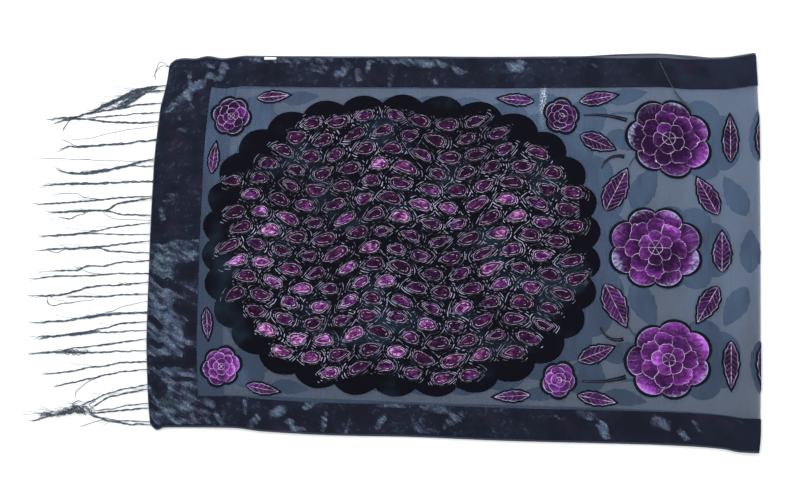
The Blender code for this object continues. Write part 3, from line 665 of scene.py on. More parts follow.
# Painted sheen in patches on the black ground.
colour = (place.noise(14, 3).ramp(0.50, 0.76) * 0.8).blend(BLACK, BLACK_SHEEN)
colour = (strokes * whole * (0.35 + 0.50 * sheen_glow.ramp(0.4, 0.6))).blend(colour, SILVER_BLUE)
colour = edged.blend(colour, PLUM_DARK)
plum = (size_chance.ramp(0.2, 0.9) * 0.6).blend(pile_scale(light, WINE_PILE), pile_scale(light, RED_PILE))
colour = filled.blend(colour, plum)
# The silver lines, brighter under the painted light.
colour = (lines * whole * (0.60 + 0.40 * bright)).blend(colour, SILVER)
relief = mottle * 0.6 - edged * 0.5 + lines * whole * 0.5
field_pile = pile_finish(place, colour, relief, 0.4, 0.0005, PATTERN_SHEEN)


def medallion():
    """A scalloped oval in polar form: the length of a superellipse's ray, less the scallops."""
    turn = np.linspace(0, 2 * math.pi, POINTS_PER_SCALLOP * SCALLOPS, endpoint=False)
    rings = 1 - (1 - np.linspace(0, 1, MEDALLION_RINGS)) ** RING_CROWDING
    rings = np.append(rings, rings[-1] - shoulders / MEDALLION_HALF_WIDTH)
    ring, turn = grid(np.sort(rings), turn)
    powers = np.abs(np.cos(turn)) ** MEDALLION_POWER + np.abs(np.sin(turn)) ** MEDALLION_POWER
    oval = powers ** (-1 / MEDALLION_POWER)
    scallop = SCALLOP_DEPTH * (np.abs(np.sin(SCALLOPS * turn / 2)) ** SCALLOP_ROUNDNESS - 1)
    q = MEDALLION_Q + ring * (MEDALLION_HALF_LENGTH * oval + scallop) * np.cos(turn)
    v = ring * (MEDALLION_HALF_WIDTH * oval + scallop) * np.sin(turn)
    edge = (1 - ring) * MEDALLION_HALF_WIDTH
    return q, v, edge, cells(*q.shape, ring=True, welds=1), {}


def on_both_stretches(name, shape, material):
    """A figure of pile on the upper stretch, in place of its solid, and its twin on the under stretch."""
    q, v, edge, quads, attributes = shape
    upper = standing_pile(f"velvet_{name}", q, v, edge, quads, material, attributes)
    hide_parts(f"pile_{name}")
    standing_pile(f"velvet_{name}_under", -q, v, edge, quads, material, attributes)


on_both_stretches("medallion", medallion(), field_pile)


# The rosettes: round flowers of plum pile in a black rim, three rings of petals in silvery lines, the tips
# of the petals pale where the nap catches the light.
PETAL_DEPTH = 0.15
PETAL_ROUNDNESS = 0.7
OVAL = 0.06
ROSETTE_CELL = 0.0021
POINTS_PER_PETAL = 18
ROSETTE_RIM = 0.0044
RIM_SOFTNESS = 0.0003
SECOND_RING, THIRD_RING, HEART = 0.66, 0.38, 0.15
# Painted sheen of the petal tips:
PETAL_TIP_SHEEN = (0.280, 0.330, 0.500, 1)
VIOLET_PILE = ((0.014, 0.003, 0.022, 1), (0.050, 0.009, 0.072, 1), (0.145, 0.024, 0.200, 1),
               (0.390, 0.110, 0.520, 1))

ROSETTES = table(
    "name q v heading radius petals",
    ("rosette_middle", 0.113, 0.000, 0, 0.058, 8),
    ("rosette", 0.096, 0.143, 28, 0.054, 7),
    ("rosette_bud", 0.233, 0.172, 60, 0.025, 5),
    ("rosette_end", 0.675, 0.170, 40, 0.029, 6),
)


def outlined(colour, lines, edge, rim, faded, broken):
    """The colour with silvery lines, in a black rim with a broken line along its inside."""
    colour = (lines * (0.15 + 0.85 * faded) * (0.4 + 0.6 * broken) * 0.8).blend(colour, SILVER)
    colour = (1 - edge.ramp(rim - RIM_SOFTNESS, rim + RIM_SOFTNESS)).blend(colour, NAVY_DEEP)
    rim_line = (edge - rim).stroke(0.7 * LINE_HALF) * (0.2 + 0.8 * faded) * (0.4 + 0.6 * broken) * 0.85
    return rim_line.blend(colour, SILVER_BLUE)


place, broken, mottle = pattern_start("rosette_velvet")
_, at_v, _ = place.parts()
x, y, edge = place.read("bloom").parts()
petals, seed, radius = place.read("kind").parts()
reach = (x * x + y * y) ** 0.5 * (1 + 0.34 * (place.noise(80, 3, 0.6) - 0.5))
bearing = y.bearing(x)
bearing = bearing + 2 * math.pi * (bearing < 0)
half = bearing * petals / 2 + 1.5 * (place.noise(60, 1) - 0.5)
inner_half = bearing * (petals - 2) / 2
second = SECOND_RING * (0.82 + 0.18 * abs(half.cosine()) ** 0.8)
third = THIRD_RING * (0.80 + 0.20 * abs(inner_half.sine()) ** 0.8)
is_outer, is_inner = reach > second, reach < third
is_middle = 1 - is_outer - is_inner
seam = is_outer * abs(half.sine()) / petals + is_middle * abs(half.cosine()) / petals
seam = 2 * reach * radius * (seam + is_inner * abs(inner_half.sine()) / (petals - 2))
lines = seam.stroke(0.6 * LINE_HALF)
for ring in (second, third, HEART):
    lines = lines.larger(((reach - ring) * radius).stroke(0.65 * LINE_HALF))
faded = place.noise(75, 2, 0.6).ramp(0.34, 0.62)
petal = is_outer * (half / math.pi).floor() + is_middle * (half / math.pi + 0.5).floor()
petal = petal + is_inner * (inner_half / math.pi).floor()
chance, other_chance, _ = petal.dice(seed, is_outer + 2 * is_inner)
outer_share = (reach - second) / (0.90 - second)
share = is_outer * outer_share + is_middle * (reach - third) / (second - third) + is_inner * reach / third
veins = abs((half * 7 + 3 * mottle).sine())
# The pile's tone: each petal's own, growing out along its ring, with painted sheen in patches and painted
# light that grows towards the near side. Pale petal tips are painted sheen, where the nap catches the light.
light = share * (0.16 + 0.47 * chance) + 1.3 * (mottle - 0.5) + 1.7 * (place.noise(26, 3) - 0.43) - 1.1 * at_v
pale = share.ramp(0.62, 0.95) * is_outer * other_chance.ramp(0.30, 0.60) * mottle.ramp(0.36, 0.58)
colour = (pale * veins.ramp(0.0, 0.7) * 0.85).blend(pile_scale(light, VIOLET_PILE), PETAL_TIP_SHEEN)
fine = (1 - veins.ramp(0.03, 0.20)) * share.ramp(0.20, 0.60) * is_outer * faded * 0.22
colour = outlined(fine.blend(colour, SILVER), lines, edge, ROSETTE_RIM, faded, broken)
petal_pile = pile_finish(place, colour, mottle * 0.6 + share * 0.9 - lines * 0.5, 0.5, 0.0006, PATTERN_SHEEN)


def rosette(row):
    """A lobed disc in polar form: the reach falls by the petal depth between two petals, and is longer along
    the heading by the oval share. It carries each point's place in the flower as shares of the radius."""
    turn = np.linspace(0, 2 * math.pi, POINTS_PER_PETAL * row.petals, endpoint=False)
    rings = np.append(stations(0, 1, ROSETTE_CELL / row.radius), 1 - shoulders / row.radius)
    ring, turn = grid(np.sort(rings), turn)
    lobe = 1 - PETAL_DEPTH * (1 - np.abs(np.sin(row.petals * turn / 2)) ** PETAL_ROUNDNESS)
    reach = ring * row.radius * lobe * (1 + OVAL * np.cos(2 * turn))
    edge = (1 - ring) * row.radius
    heading = turn + math.radians(row.heading)
    q, v = row.q + reach * np.cos(heading), row.v + reach * np.sin(heading)
    bloom = vectors(reach * np.cos(turn) / row.radius, reach * np.sin(turn) / row.radius, edge)
    kind = vectors(row.petals, row.q * 100 + row.v * 10, np.full_like(q, row.radius))
    return q, v, edge, cells(*q.shape, ring=True, welds=1), {"bloom": bloom, "kind": kind}


def mirrored(rows):
    """The rows' figures: one on the centre line stands alone, and any other has its mirror image."""
    for row in rows:
        if row.v == 0:
            yield row
        else:
            fields = [field for field in ("v", "heading", "bend") if field in row._fields]
            yield row._replace(name=f"{row.name}_far")
            yield row._replace(name=f"{row.name}_near", **{field: -getattr(row, field) for field in fields})


for row in mirrored(ROSETTES):
    on_both_stretches(row.name, rosette(row), petal_pile)


# The leaves: plum pile in a black rim, toothed, printed with a broken silvery line inside the rim, a midrib
# and side veins.
LEAF_FULLNESS = 0.85
LEAF_SKEW = 0.8
LEAF_TEETH = 5
LEAF_TOOTH_DEPTH = 0.13
LEAF_ALONG, LEAF_ACROSS = 50, 14
LEAF_RIM = 0.0030
VEIN_PITCH = 0.0062
VEIN_SLANT = 0.9

LEAVES = table(
    "name q v heading length width",
    ("leaf_middle", 0.031, 0.000, 90, 0.056, 0.028),
    ("leaf_inner", 0.1615, 0.076, 116, 0.064, 0.034),
    ("leaf_fold_inner", 0.049, 0.071, 62, 0.058, 0.029),
    ("leaf_fold_outer", 0.020, 0.146, 90, 0.066, 0.024),
    ("leaf_stem_inner", 0.185, 0.137, 203, 0.052, 0.027),
    ("leaf_stem_outer", 0.184, 0.1955, 170, 0.054, 0.022),
    ("leaf_stem_tip", 0.294, 0.194, 5, 0.052, 0.020),
    ("leaf_end_side", 0.618, 0.196, 174, 0.050, 0.020),
    ("leaf_end_front", 0.694, 0.114, 95, 0.048, 0.019),
)

place, broken, mottle = pattern_start("leaf_velvet")
run, aside, edge = place.read("blade").parts()
from_rib = abs(aside) + 0.0012 * (mottle - 0.5)
slanted = run - VEIN_SLANT * from_rib
veins = (slanted % VEIN_PITCH - VEIN_PITCH / 2).stroke(0.4 * LINE_HALF) * 0.6
chance, _, _ = (slanted / VEIN_PITCH).floor().dice(aside > 0, 0.5)
# The pile's tone: each vein's own, with painted sheen in patches up to a painted highlight.
light = 0.04 + 0.22 * chance + 1.2 * (mottle - 0.5) + 1.4 * (place.noise(26, 3) - 0.46)
faded = place.noise(90, 2, 0.6).ramp(0.34, 0.62)
lines = from_rib.stroke(0.65 * LINE_HALF).larger(veins)
colour = outlined(pile_scale(light, VIOLET_PILE), lines, edge, LEAF_RIM, faded, broken)
leaf_pile = pile_finish(place, colour, mottle * 0.6 - lines * 0.6, 0.5, 0.0006, PATTERN_SHEEN)


def blade(row, along, aside, turn, spine_q, spine_v, half):
    """Points beside a spine, square to its heading, with their distances along the spine and aside of it."""
    aside_of = aside * half
    q, v = spine_q - aside_of * np.sin(turn), spine_v + aside_of * np.cos(turn)
    edge = (1 - np.abs(aside)) * half
    return q, v, edge, {"blade": vectors(along * row.length, aside_of, edge)}


def leaf(row):
    """A pointed blade along its rib: half width is the sine of the share of its length, skewed to the stalk,
    less a saw tooth. Both tips are welded."""
    along, aside = grid(np.linspace(0, 1, LEAF_ALONG), np.linspace(-1, 1, LEAF_ACROSS))
    half = row.width / 2 * np.sin(math.pi * along**LEAF_SKEW) ** LEAF_FULLNESS
    toothed = half * (1 - LEAF_TOOTH_DEPTH * (LEAF_TEETH * along % 1))
    turn = math.radians(row.heading)
    run = (along - 0.5) * row.length
    spine_q, spine_v = row.q + run * math.cos(turn), row.v + run * math.sin(turn)
    q, v, edge, attributes = blade(row, along, aside, turn, spine_q, spine_v, toothed)
    return q, v, edge, cells(*q.shape, welds=2), attributes


for row in mirrored(LEAVES):
    on_both_stretches(row.name, leaf(row), leaf_pile)


# The stalks and tendrils: narrow curved ribbons of black pile, left standing as the leaves are, that taper to
# a tip, with a thin broken silver line printed along them.
STEM_TAPER = 0.6
STEM_ALONG, STEM_ACROSS = 36, 7

STEMS = table(
    "name q v heading bend length width",
    ("stem", 0.149, 0.166, 20, -26, 0.056, 0.0055),
    ("tendril", 0.152, 0.118, 20, -95, 0.036, 0.0050),
)

place, broken, mottle = pattern_start("stem_velvet")
_, aside, _ = place.read("blade").parts()
line = (abs(aside) + 0.0008 * (mottle - 0.5)).stroke(0.45 * LINE_HALF) * (0.2 + 0.8 * broken) * 0.2
colour = line.blend(NAVY_DEEP, SILVER_BLUE)
stem_pile = pile_finish(place, colour, mottle * 0.6, 0.4, 0.0005, PATTERN_SHEEN)


def stem(row):
    """An arc of steady bend that tapers to its tip."""
    along, aside = grid(np.linspace(0, 1, STEM_ALONG), np.linspace(-1, 1, STEM_ACROSS))
    turn = np.radians(row.heading + along * row.bend)
    start, radius = math.radians(row.heading), row.length / math.radians(row.bend)
    spine_q = row.q + radius * (np.sin(turn) - math.sin(start))
    spine_v = row.v - radius * (np.cos(turn) - math.cos(start))
    half = row.width / 2 * (1 - STEM_TAPER * along)
    q, v, edge, attributes = blade(row, along, aside, turn, spine_q, spine_v, half)
    return q, v, edge, cells(*q.shape), attributes


for row in mirrored(STEMS):
    on_both_stretches(row.name, stem(row), stem_pile)


# The hems: both long edges of the ground's own cloth, rolled over and run through with a close stitch. The
# far hem has come open near the fold.
HEM_SETBACK = 0.0013
HEM_HALF_WIDTH, HEM_HALF_HEIGHT = 0.0013, 0.0009
HEM_SIDES = 10
HEM_CELL = 0.003
HEM_COLOUR = (0.022, 0.028, 0.045, 1)
# A painted highlight for the far hem:
HEM_HIGHLIGHT = (0.125, 0.132, 0.180, 1)
STITCH_PITCH = 0.0022
# The far hem's painted highlight runs full where the hem has come open.
OPENED_Q, OPENED_REACH = 0.128, 0.054  # where the far hem has come open and lies wide and pale
OPENED_SPREAD = 0.9

place = new_finish("rolled_hem").read("cloth")
at_q, at_v, _ = place.parts()
stitch = ((at_q + 0.4 * at_v) * 2 * math.pi / STITCH_PITCH).sine().ramp(0.1, 0.9)
# Painted highlight along the far hem, brighter on its stitches, broken by noise, full where it has come open.
far_hem_highlight = place.stretch(0.3, 1.0).noise(60, 3).ramp(0.38, 0.62).larger((at_q - OPENED_Q).stroke(OPENED_REACH))
colour = (far_hem_highlight * (0.35 + 0.65 * stitch) * at_v.ramp(-0.35, 0.20)).blend(HEM_COLOUR, HEM_HIGHLIGHT)
hem_cloth = place.finish({"Base Color": colour, "Normal": (stitch + place.noise(1500, 2)).bump(0.5, 0.0005),
                          "Roughness": 0.8, "Specular IOR Level": 0.15, "Sheen Weight": 0.15})


def roll(name, q, v, q_reach, v_reach):
    """A closed roll along a line of the cloth: at each place a ring of rises and steps aside, in the shape of
    an ellipse, that ends in a point at both ends."""
    angle = np.linspace(0, 2 * math.pi, HEM_SIDES, endpoint=False)
    full = np.ones((len(q), 1))
    full[[0, -1]] = 0
    q_ring = q[:, None] + q_reach * full * np.cos(angle)
    v_ring = v[:, None] + v_reach * full * np.cos(angle)
    points = lie(q_ring, v_ring, HEM_HALF_HEIGHT * full * np.sin(angle))
    faces = whole_triangles(cells(len(q), HEM_SIDES, ring=True, welds=2))
    return piece_of(name, points, faces, hem_cloth, {"cloth": vectors(np.abs(q_ring), v_ring)})


q = whole_length(HEM_CELL)
for name, side in (("far", 1), ("near", -1)):
    opened = (side > 0) * OPENED_SPREAD * np.exp(-(((q - OPENED_Q) / OPENED_REACH) ** 4))
    v = side * (WIDTH / 2 - HEM_SETBACK - HEM_HALF_WIDTH * opened)
    roll(f"hem_{name}", q, v, 0, HEM_HALF_WIDTH * (1 + opened[:, None]))


# The care label: a small slip of plain white satin tape, sewn in at the far hem and turned over it, so that
# it lies on the border's pile.
LABEL_Q, LABEL_V = 0.633, 0.2479
LABEL_LENGTH, LABEL_DEPTH = 0.017, 0.0036
LABEL_FOOT, LABEL_TOP = 0.0012, 0.0017
LABEL_TAPER = 0.25
LABEL_ALONG, LABEL_ACROSS = 9, 5
LABEL_WHITE = (0.80, 0.82, 0.84, 1)

place = new_finish("label_satin").read("cloth")
satin = place.finish({"Base Color": LABEL_WHITE, "Roughness": 0.35, "Sheen Weight": 0.2,
                      "Normal": place.stretch(3.0, 0.4).noise(900, 2).bump(0.2, 0.0003)})
along, aside = grid(np.linspace(-0.5, 0.5, LABEL_ALONG), np.linspace(-0.5, 0.5, LABEL_ACROSS))
q = LABEL_Q - LABEL_LENGTH * along
v = LABEL_V + LABEL_DEPTH * aside * (1 - LABEL_TAPER * (along + 0.5))
edge = (0.5 - np.abs(aside)) * LABEL_DEPTH
label = standing_pile("care_label_tape", q, v, edge, cells(*q.shape), satin, {},
                      foot=LABEL_FOOT, height=LABEL_TOP)
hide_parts("care_label")


# The fringes: loose blue-grey yarn from a narrow header at each end. A leg is a few fine threads that part
# and join again and thin out to hairs, legs meet in tassels, and the outer tassels have run into tangles.
# Their places are read off the photo, so the camera is set out here too.
HEADER_HALF = 0.0009
HEADER_CELL = 0.003
THREAD_RADIUS = 0.00045
HAIR_RADIUS = 0.00019
THREAD_STEPS, HAIR_STEPS = 76, 44
THREAD_SIDES, HAIR_SIDES = 5, 4
UPPER_HAIRS, UNDER_HAIRS = 70, 12
HAIR_LENGTH, HAIR_EXTRA = 0.014, 0.034  # the shortest, and how much longer the longest is
HAIR_BOW, HAIR_CURL, HAIR_LIFT, HAIR_CLEAR = 0.014, 0.0012, 0.0022, 0.0004
HAIR_FIRST, HAIR_STARTS = 6, 0.7  # steps from a root, and the share of a thread that hairs leave from
UPPER_SEED, UNDER_SEED = 11, 12
SLOW_WAVE, QUICK_WAVE = 0.034, 0.012  # along a thread
TIP_SHARE = 0.84  # where a thread begins to thin out
TIP_SPREAD = 0.16
TIP_ENDS, TANGLE_ENDS = 0.12, 0.4  # most that a thread falls short of its strand's end, as a share
DROOP_REACH = 0.030
FLOOR_GAP = 0.0003
YARN_DARK = (0.014, 0.022, 0.034, 1)
YARN = (0.046, 0.070, 0.102, 1)
YARN_TEAL = (0.034, 0.095, 0.125, 1)
YARN_VIOLET = (0.055, 0.056, 0.130, 1)
WIDTH_AT_END = UPPER_EDGES[0].far - UPPER_EDGES[0].near

# The camera, found from the four corners of the cloth in the photo.
CAMERA_TARGET = np.array([0.0299, -0.0063, 0.0])
CAMERA_REACH = 1.4357
CAMERA_LEAN, CAMERA_TIP, CAMERA_ROLL = map(math.radians, (7.20, -3.87, -1.36))
FOCAL_PIXELS = 1100
IMAGE_WIDTH, IMAGE_HEIGHT = 800, 500
back = np.array([math.sin(CAMERA_LEAN), math.sin(CAMERA_TIP), math.cos(CAMERA_LEAN) * math.cos(CAMERA_TIP)])
back /= np.linalg.norm(back)
rightward = np.cross((math.sin(CAMERA_ROLL), math.cos(CAMERA_ROLL), 0), back)
rightward /= np.linalg.norm(rightward)
upward = np.cross(back, rightward)
camera_spot = CAMERA_TARGET + CAMERA_REACH * back

# A strand's knots are its places in the photo from its root to its tip, in pixels from the top left corner.
STRAND = "threads thick loose knots"
UPPER_STRANDS = table(
    STRAND,
    (4, 1.0, 0.0013, ((163.5, 86), (150.5, 87.5), (137, 90), (122, 97.5), (108.5, 104), (92, 112.5),
     (72, 117.5), (46, 119.5))),
    (3, 1.0, 0.0012, ((162, 91), (145.5, 92.5), (137, 99), (122, 107), (108, 109))),
    (3, 0.9, 0.0008, ((161, 103.5), (138.5, 105), (122, 108.5), (100.5, 111.5), (82, 116))),
    (2, 0.9, 0.0008, ((160.5, 113), (135.5, 114), (120.5, 115.5), (102, 117), (80, 118))),
    (3, 1.0, 0.0009, ((159.5, 122), (138.5, 123), (122, 122.5), (102, 121.5), (85.5, 119), (66, 120),
     (49, 126))),
    (1, 0.3, 0.0003, ((158.5, 126), (126.5, 130), (103, 135), (85, 139), (71.5, 139.5))),
    (4, 1.0, 0.0013, ((155.5, 159), (143, 161.5), (127, 166), (110, 170), (80, 174), (66, 172), (57, 168),
     (54, 164))),
    (2, 0.9, 0.0007, ((155, 166.5), (142, 166.5), (128, 165.5), (110, 169))),
    (1, 0.3, 0.0003, ((154, 161), (120, 161), (90, 160), (52, 158.5), (32, 159))),
    (3, 0.9, 0.0008, ((153, 196.5), (123, 197.5), (100, 200), (61.5, 203), (27, 204.5))),
    (4, 1.0, 0.0010, ((152.5, 198), (120, 203.5), (103, 210.5), (73, 211.5), (38, 213.5))),
    (3, 0.9, 0.0008, ((151, 215.5), (123, 214.5), (103, 210.5), (82, 212))),
    (1, 0.4, 0.0003, ((151, 220.5), (116.5, 219), (108, 216), (102, 211))),
    (3, 0.9, 0.0008, ((151, 223), (123, 226), (95, 231), (81.5, 233.5), (56.5, 235.5), (28, 237))),
    (2, 0.8, 0.0006, ((151, 234.5), (120, 234.5), (95, 233.5), (60, 235))),
    (3, 0.9, 0.0010, ((150, 241), (126.5, 243.5), (106.5, 246), (91.5, 247.5), (56.5, 249), (27, 251))),
    (3, 0.9, 0.0008, ((150, 253), (126.5, 252), (110, 251), (98, 248), (74, 249))),
    (3, 0.9, 0.0010, ((150, 282), (126.5, 284.5), (93, 286.5), (76.5, 291), (60, 295), (27, 296.5))),
    (3, 0.9, 0.0008, ((149, 294), (126.5, 294.5), (103, 296.5), (64, 296.5))),
    (1, 0.4, 0.0003, ((147, 301), (123, 306.5), (113, 311), (95, 315))),
    (3, 0.9, 0.0009, ((147.5, 321.5), (123, 323.5), (103, 328.5), (85, 332), (60, 335.5), (31, 340))),
    (3, 0.9, 0.0008, ((146.5, 330), (113, 332), (90, 333), (70, 335), (27, 337))),
    (3, 0.9, 0.0008, ((146.5, 338.5), (120, 342.5), (95, 346), (78, 347.5), (58, 351.5), (43, 353.5))),
    (3, 0.9, 0.0009, ((146.5, 350.5), (113, 351.5), (91.5, 352.5), (60, 352), (27, 353.5))),
    (3, 0.9, 0.0008, ((147.5, 369), (121, 372), (97, 377), (75, 382), (53, 387))),
    (3, 0.9, 0.0008, ((148, 384), (130, 388), (112, 392), (98, 398), (84, 404), (76, 409))),
    (3, 0.9, 0.0008, ((148, 388.5), (128, 393), (110, 397), (100, 402), (90, 410))),
    (2, 0.8, 0.0006, ((148, 403), (130, 405), (110, 409), (92, 411))),
    (3, 0.9, 0.0008, ((148, 407.5), (125, 410), (105, 412), (86, 413))),
    (2, 0.7, 0.0005, ((149, 421.5), (120.5, 420.5), (102, 417.5), (88, 413))),
    (4, 1.0, 0.0011, ((149, 424.5), (130, 424), (112, 421), (100, 418), (88, 413))),
)
UNDER_STRANDS = table(
    STRAND,
    (4, 1.0, 0.0012, ((157, 138.5), (145.5, 141), (127, 143.5), (105.5, 145), (88.5, 146.5), (66, 147.5),
     (56, 151.5))),
    (3, 1.0, 0.0012, ((152.5, 181), (130, 182), (103, 183.5), (65, 184), (28, 187))),
    (3, 0.9, 0.0009, ((150, 259.5), (120, 262.5), (103, 266), (88, 266), (77.5, 270), (37, 271.5))),
    (3, 0.9, 0.0008, ((151, 273.5), (126.5, 273.5), (78, 276), (61.5, 276), (28, 280))),
    (4, 1.0, 0.0012, ((148, 311), (113, 314), (90, 316.5), (70, 320), (48, 322), (28, 322.5))),
    (3, 0.9, 0.0009, ((146.5, 361.5), (126.5, 362), (110, 365), (90, 367.5), (59, 373), (39, 374))),
)
# Lumps, loops and single threads that have run together or pulled free.
TANGLES = table(
    STRAND,
    (7, 0.9, 0.0026, ((159, 86.5), (137, 91), (122, 98.5), (104, 106.5), (84, 115))),
    (8, 0.9, 0.0028, ((151, 90), (133, 98), (124, 106), (110, 108))),
    (2, 0.6, 0.0006, ((74, 117), (66, 125), (63, 131.5), (62, 138.5))),
    (1, 0.5, 0.0003, ((93, 146), (78, 146), (65, 140.5), (61, 139))),
    (5, 0.8, 0.0018, ((120, 168.5), (103, 171), (90, 172.5), (78, 174.5))),
    (5, 0.8, 0.0014, ((112, 183), (88, 183.5), (64, 184))),
    (1, 0.5, 0.0003, ((104, 199.5), (85, 197.5), (76.5, 193.5), (65, 193.5), (52, 195.5))),
    (2, 0.4, 0.0005, ((92, 211.5), (76.5, 216), (70, 219), (61.5, 217.5), (50, 212.5))),
    (4, 0.7, 0.0012, ((100, 210.5), (80, 211), (58, 212.5))),
    (4, 0.7, 0.0012, ((90, 232.5), (72, 234.5), (50, 236))),
    (4, 0.8, 0.0013, ((105, 246.5), (85, 248), (60, 249.5))),
    (1, 0.5, 0.0004, ((66, 249), (56, 252.5), (48, 250.5))),
    (3, 0.6, 0.0014, ((92, 266), (84, 268), (76, 270.5))),
    (1, 0.4, 0.0003, ((103, 274.5), (90, 272.5), (82, 269.5))),
    (2, 0.5, 0.0006, ((103, 298), (83, 301), (64, 303.5), (54, 305.5), (47.5, 301), (49, 296))),
    (4, 0.8, 0.0015, ((120, 313), (95, 316.5), (70, 320))),
    (5, 0.8, 0.0016, ((102, 329.5), (75, 334.5), (50, 336.5))),
    (5, 0.5, 0.0034, ((90, 351.5), (75, 352.5), (60, 351))),
    (1, 0.5, 0.0003, ((100, 376.5), (88, 382), (80, 388), (76, 393), (76, 398))),
    (13, 0.7, 0.0050, ((94, 413), (82, 409), (70, 410.5), (62, 413))),
    (8, 0.7, 0.0032, ((74, 410), (64, 413.5), (55, 417))),
    (9, 0.6, 0.0038, ((60, 413), (50, 413.5), (41, 418))),
    (3, 0.5, 0.0008, ((66, 414), (50, 416), (40, 419), (26, 422.5))),
    (2, 0.5, 0.0006, ((86, 405), (79, 401), (73, 404), (77, 409))),
    (1, 0.5, 0.0003, ((96, 401), (90, 404.5), (95, 410))),
    (1, 0.4, 0.0003, ((104, 419.5), (92, 422.5), (80, 427))),
    (1, 0.5, 0.0003, ((170, 67.5), (163, 62.5), (161, 62), (157, 68.5), (155, 75), (156.5, 82))),
    (1, 0.4, 0.0003, ((170, 67), (163, 66), (157.5, 70), (153, 78))),
    (6, 0.9, 0.0022, ((158, 88), (147, 89.5), (135, 95.5), (126, 101), (116, 107))),
)

strand = new_finish("fringe_yarn").read("strand")
chance, _, _ = strand.parts()
fuzz = strand.node("TexCoord", {}, {}, "Object").noise(900, 2)
colour = (chance + 0.5 * (fuzz - 0.5)).ramp(0.1, 0.75).blend(YARN_DARK, YARN)
colour = (chance.ramp(0.68, 0.86) * fuzz.ramp(0.42, 0.6)).blend(colour, YARN_TEAL)
colour = ((1 - chance.ramp(0.10, 0.22)) * fuzz.ramp(0.40, 0.55)).blend(colour, YARN_VIOLET)
yarn = strand.finish({"Base Color": colour, "Normal": fuzz.bump(0.4, 0.0003), "Roughness": 0.6,
                      "Specular IOR Level": 0.3, "Sheen Weight": 0.2})


def threads(paths, radii, sides, chances):
    """Points, triangles and per-point numbers of threads from their centre lines and radii, a row for each:
    a ring round each point, square to the line, with both ends drawn in to a point."""
    count, steps = radii.shape
    ahead = np.gradient(paths, axis=1)
    level = vectors(-ahead[..., 1], ahead[..., 0])
    level /= np.linalg.norm(level, axis=-1, keepdims=True) + 1e-9
    lifted = np.cross(ahead, level)
    lifted /= np.linalg.norm(lifted, axis=-1, keepdims=True) + 1e-9
    radii = radii.copy()
    radii[:, [0, -1]] = 0
    angle = np.linspace(0, 2 * math.pi, sides, endpoint=False)[:, None]
    ring = np.cos(angle) * level[:, :, None] + np.sin(angle) * lifted[:, :, None]
    points = paths[:, :, None] + radii[:, :, None, None] * ring
    faces = whole_triangles(cells(steps, sides, ring=True, welds=2))
    faces = faces + np.arange(count)[:, None, None] * steps * sides
    numbers = np.broadcast_to(np.asarray(chances)[:, None, None, None], points.shape)
    return points.reshape(-1, 3), faces.reshape(-1, 3), numbers.reshape(-1, 3)


def on_table(places):
    """Plan places, one row for each, of what the photo shows at these pixels: where the line of sight from
    the camera through the pixel meets the table."""
    right, down = (np.array(places) - (IMAGE_WIDTH / 2, IMAGE_HEIGHT / 2)).T[..., None] / FOCAL_PIXELS
    sight = right * rightward - down * upward - back
    return (camera_spot - camera_spot[2] / sight[:, 2:] * sight)[:, :2]


def strand_threads(row, q_end, dice):
    """The threads of one strand. Its middle runs through its knots, and each thread swings about that, square
    to it, by two sines of its own. A rooted strand leaves the header and sinks to the floor; the threads of a
    tangle, which has no q_end, start and stop anywhere along it."""
    knots = on_table(row.knots)
    rooted, several = q_end is not None, row.threads > 1
    if rooted:
        root = lie(q_end, knots[0, 1] / WIDTH_AT_END * WIDTH, 0)
        knots[0, 0] = root[0] + HEADER_HALF
    run = np.append(0, np.cumsum(np.hypot(*np.diff(knots, axis=0).T)))
    line = table("at x y", *zip(run, *knots.T))
    chance = dice.random((10, row.threads, 1))
    first = 0 if rooted else TANGLE_ENDS * several * chance[0]
    last = 1 - several * (TIP_ENDS * chance[1] ** 2 if rooted else TANGLE_ENDS * chance[1])
    share = np.linspace(0, 1, THREAD_STEPS)
    at = run[-1] * (first + (last - first) * share)
    x, y = through(line, "at", "x", at), through(line, "at", "y", at)
    x_ahead, y_ahead = np.gradient(x, axis=1), np.gradient(y, axis=1)
    slow = 2 * math.pi * (at / SLOW_WAVE * (0.7 + 0.8 * chance[2]) + chance[3])
    quick = 2 * math.pi * (at / QUICK_WAVE * (0.6 + 0.8 * chance[4]) + chance[5])
    freed = smooth_step(6 * share) if rooted else 1
    drooped = smooth_step(at / DROOP_REACH) if rooted else 1
    swing = row.loose * freed * (0.75 * np.sin(slow) + 0.40 * np.sin(quick))
    frayed = several * TIP_SPREAD * np.clip(share - TIP_SHARE, 0, None) ** 2 * (chance[6] - 0.5)
    off = (swing + frayed) / (np.hypot(x_ahead, y_ahead) + 1e-9)
    lift = FLOOR_GAP + THREAD_RADIUS + 0.45 * row.loose * (1 + np.sin(slow + 2 * math.pi * chance[7]))
    z = lift * drooped + (root[2] * (1 - drooped) if rooted else 0)
    thinned = 1 - smooth_step((share - TIP_SHARE) / (1 - TIP_SHARE))
    radii = HAIR_RADIUS + THREAD_RADIUS * row.thick * (0.7 + 0.5 * chance[8]) * thinned
    return vectors(x - off * y_ahead, y + off * x_ahead, z), radii, chance[9, :, 0]


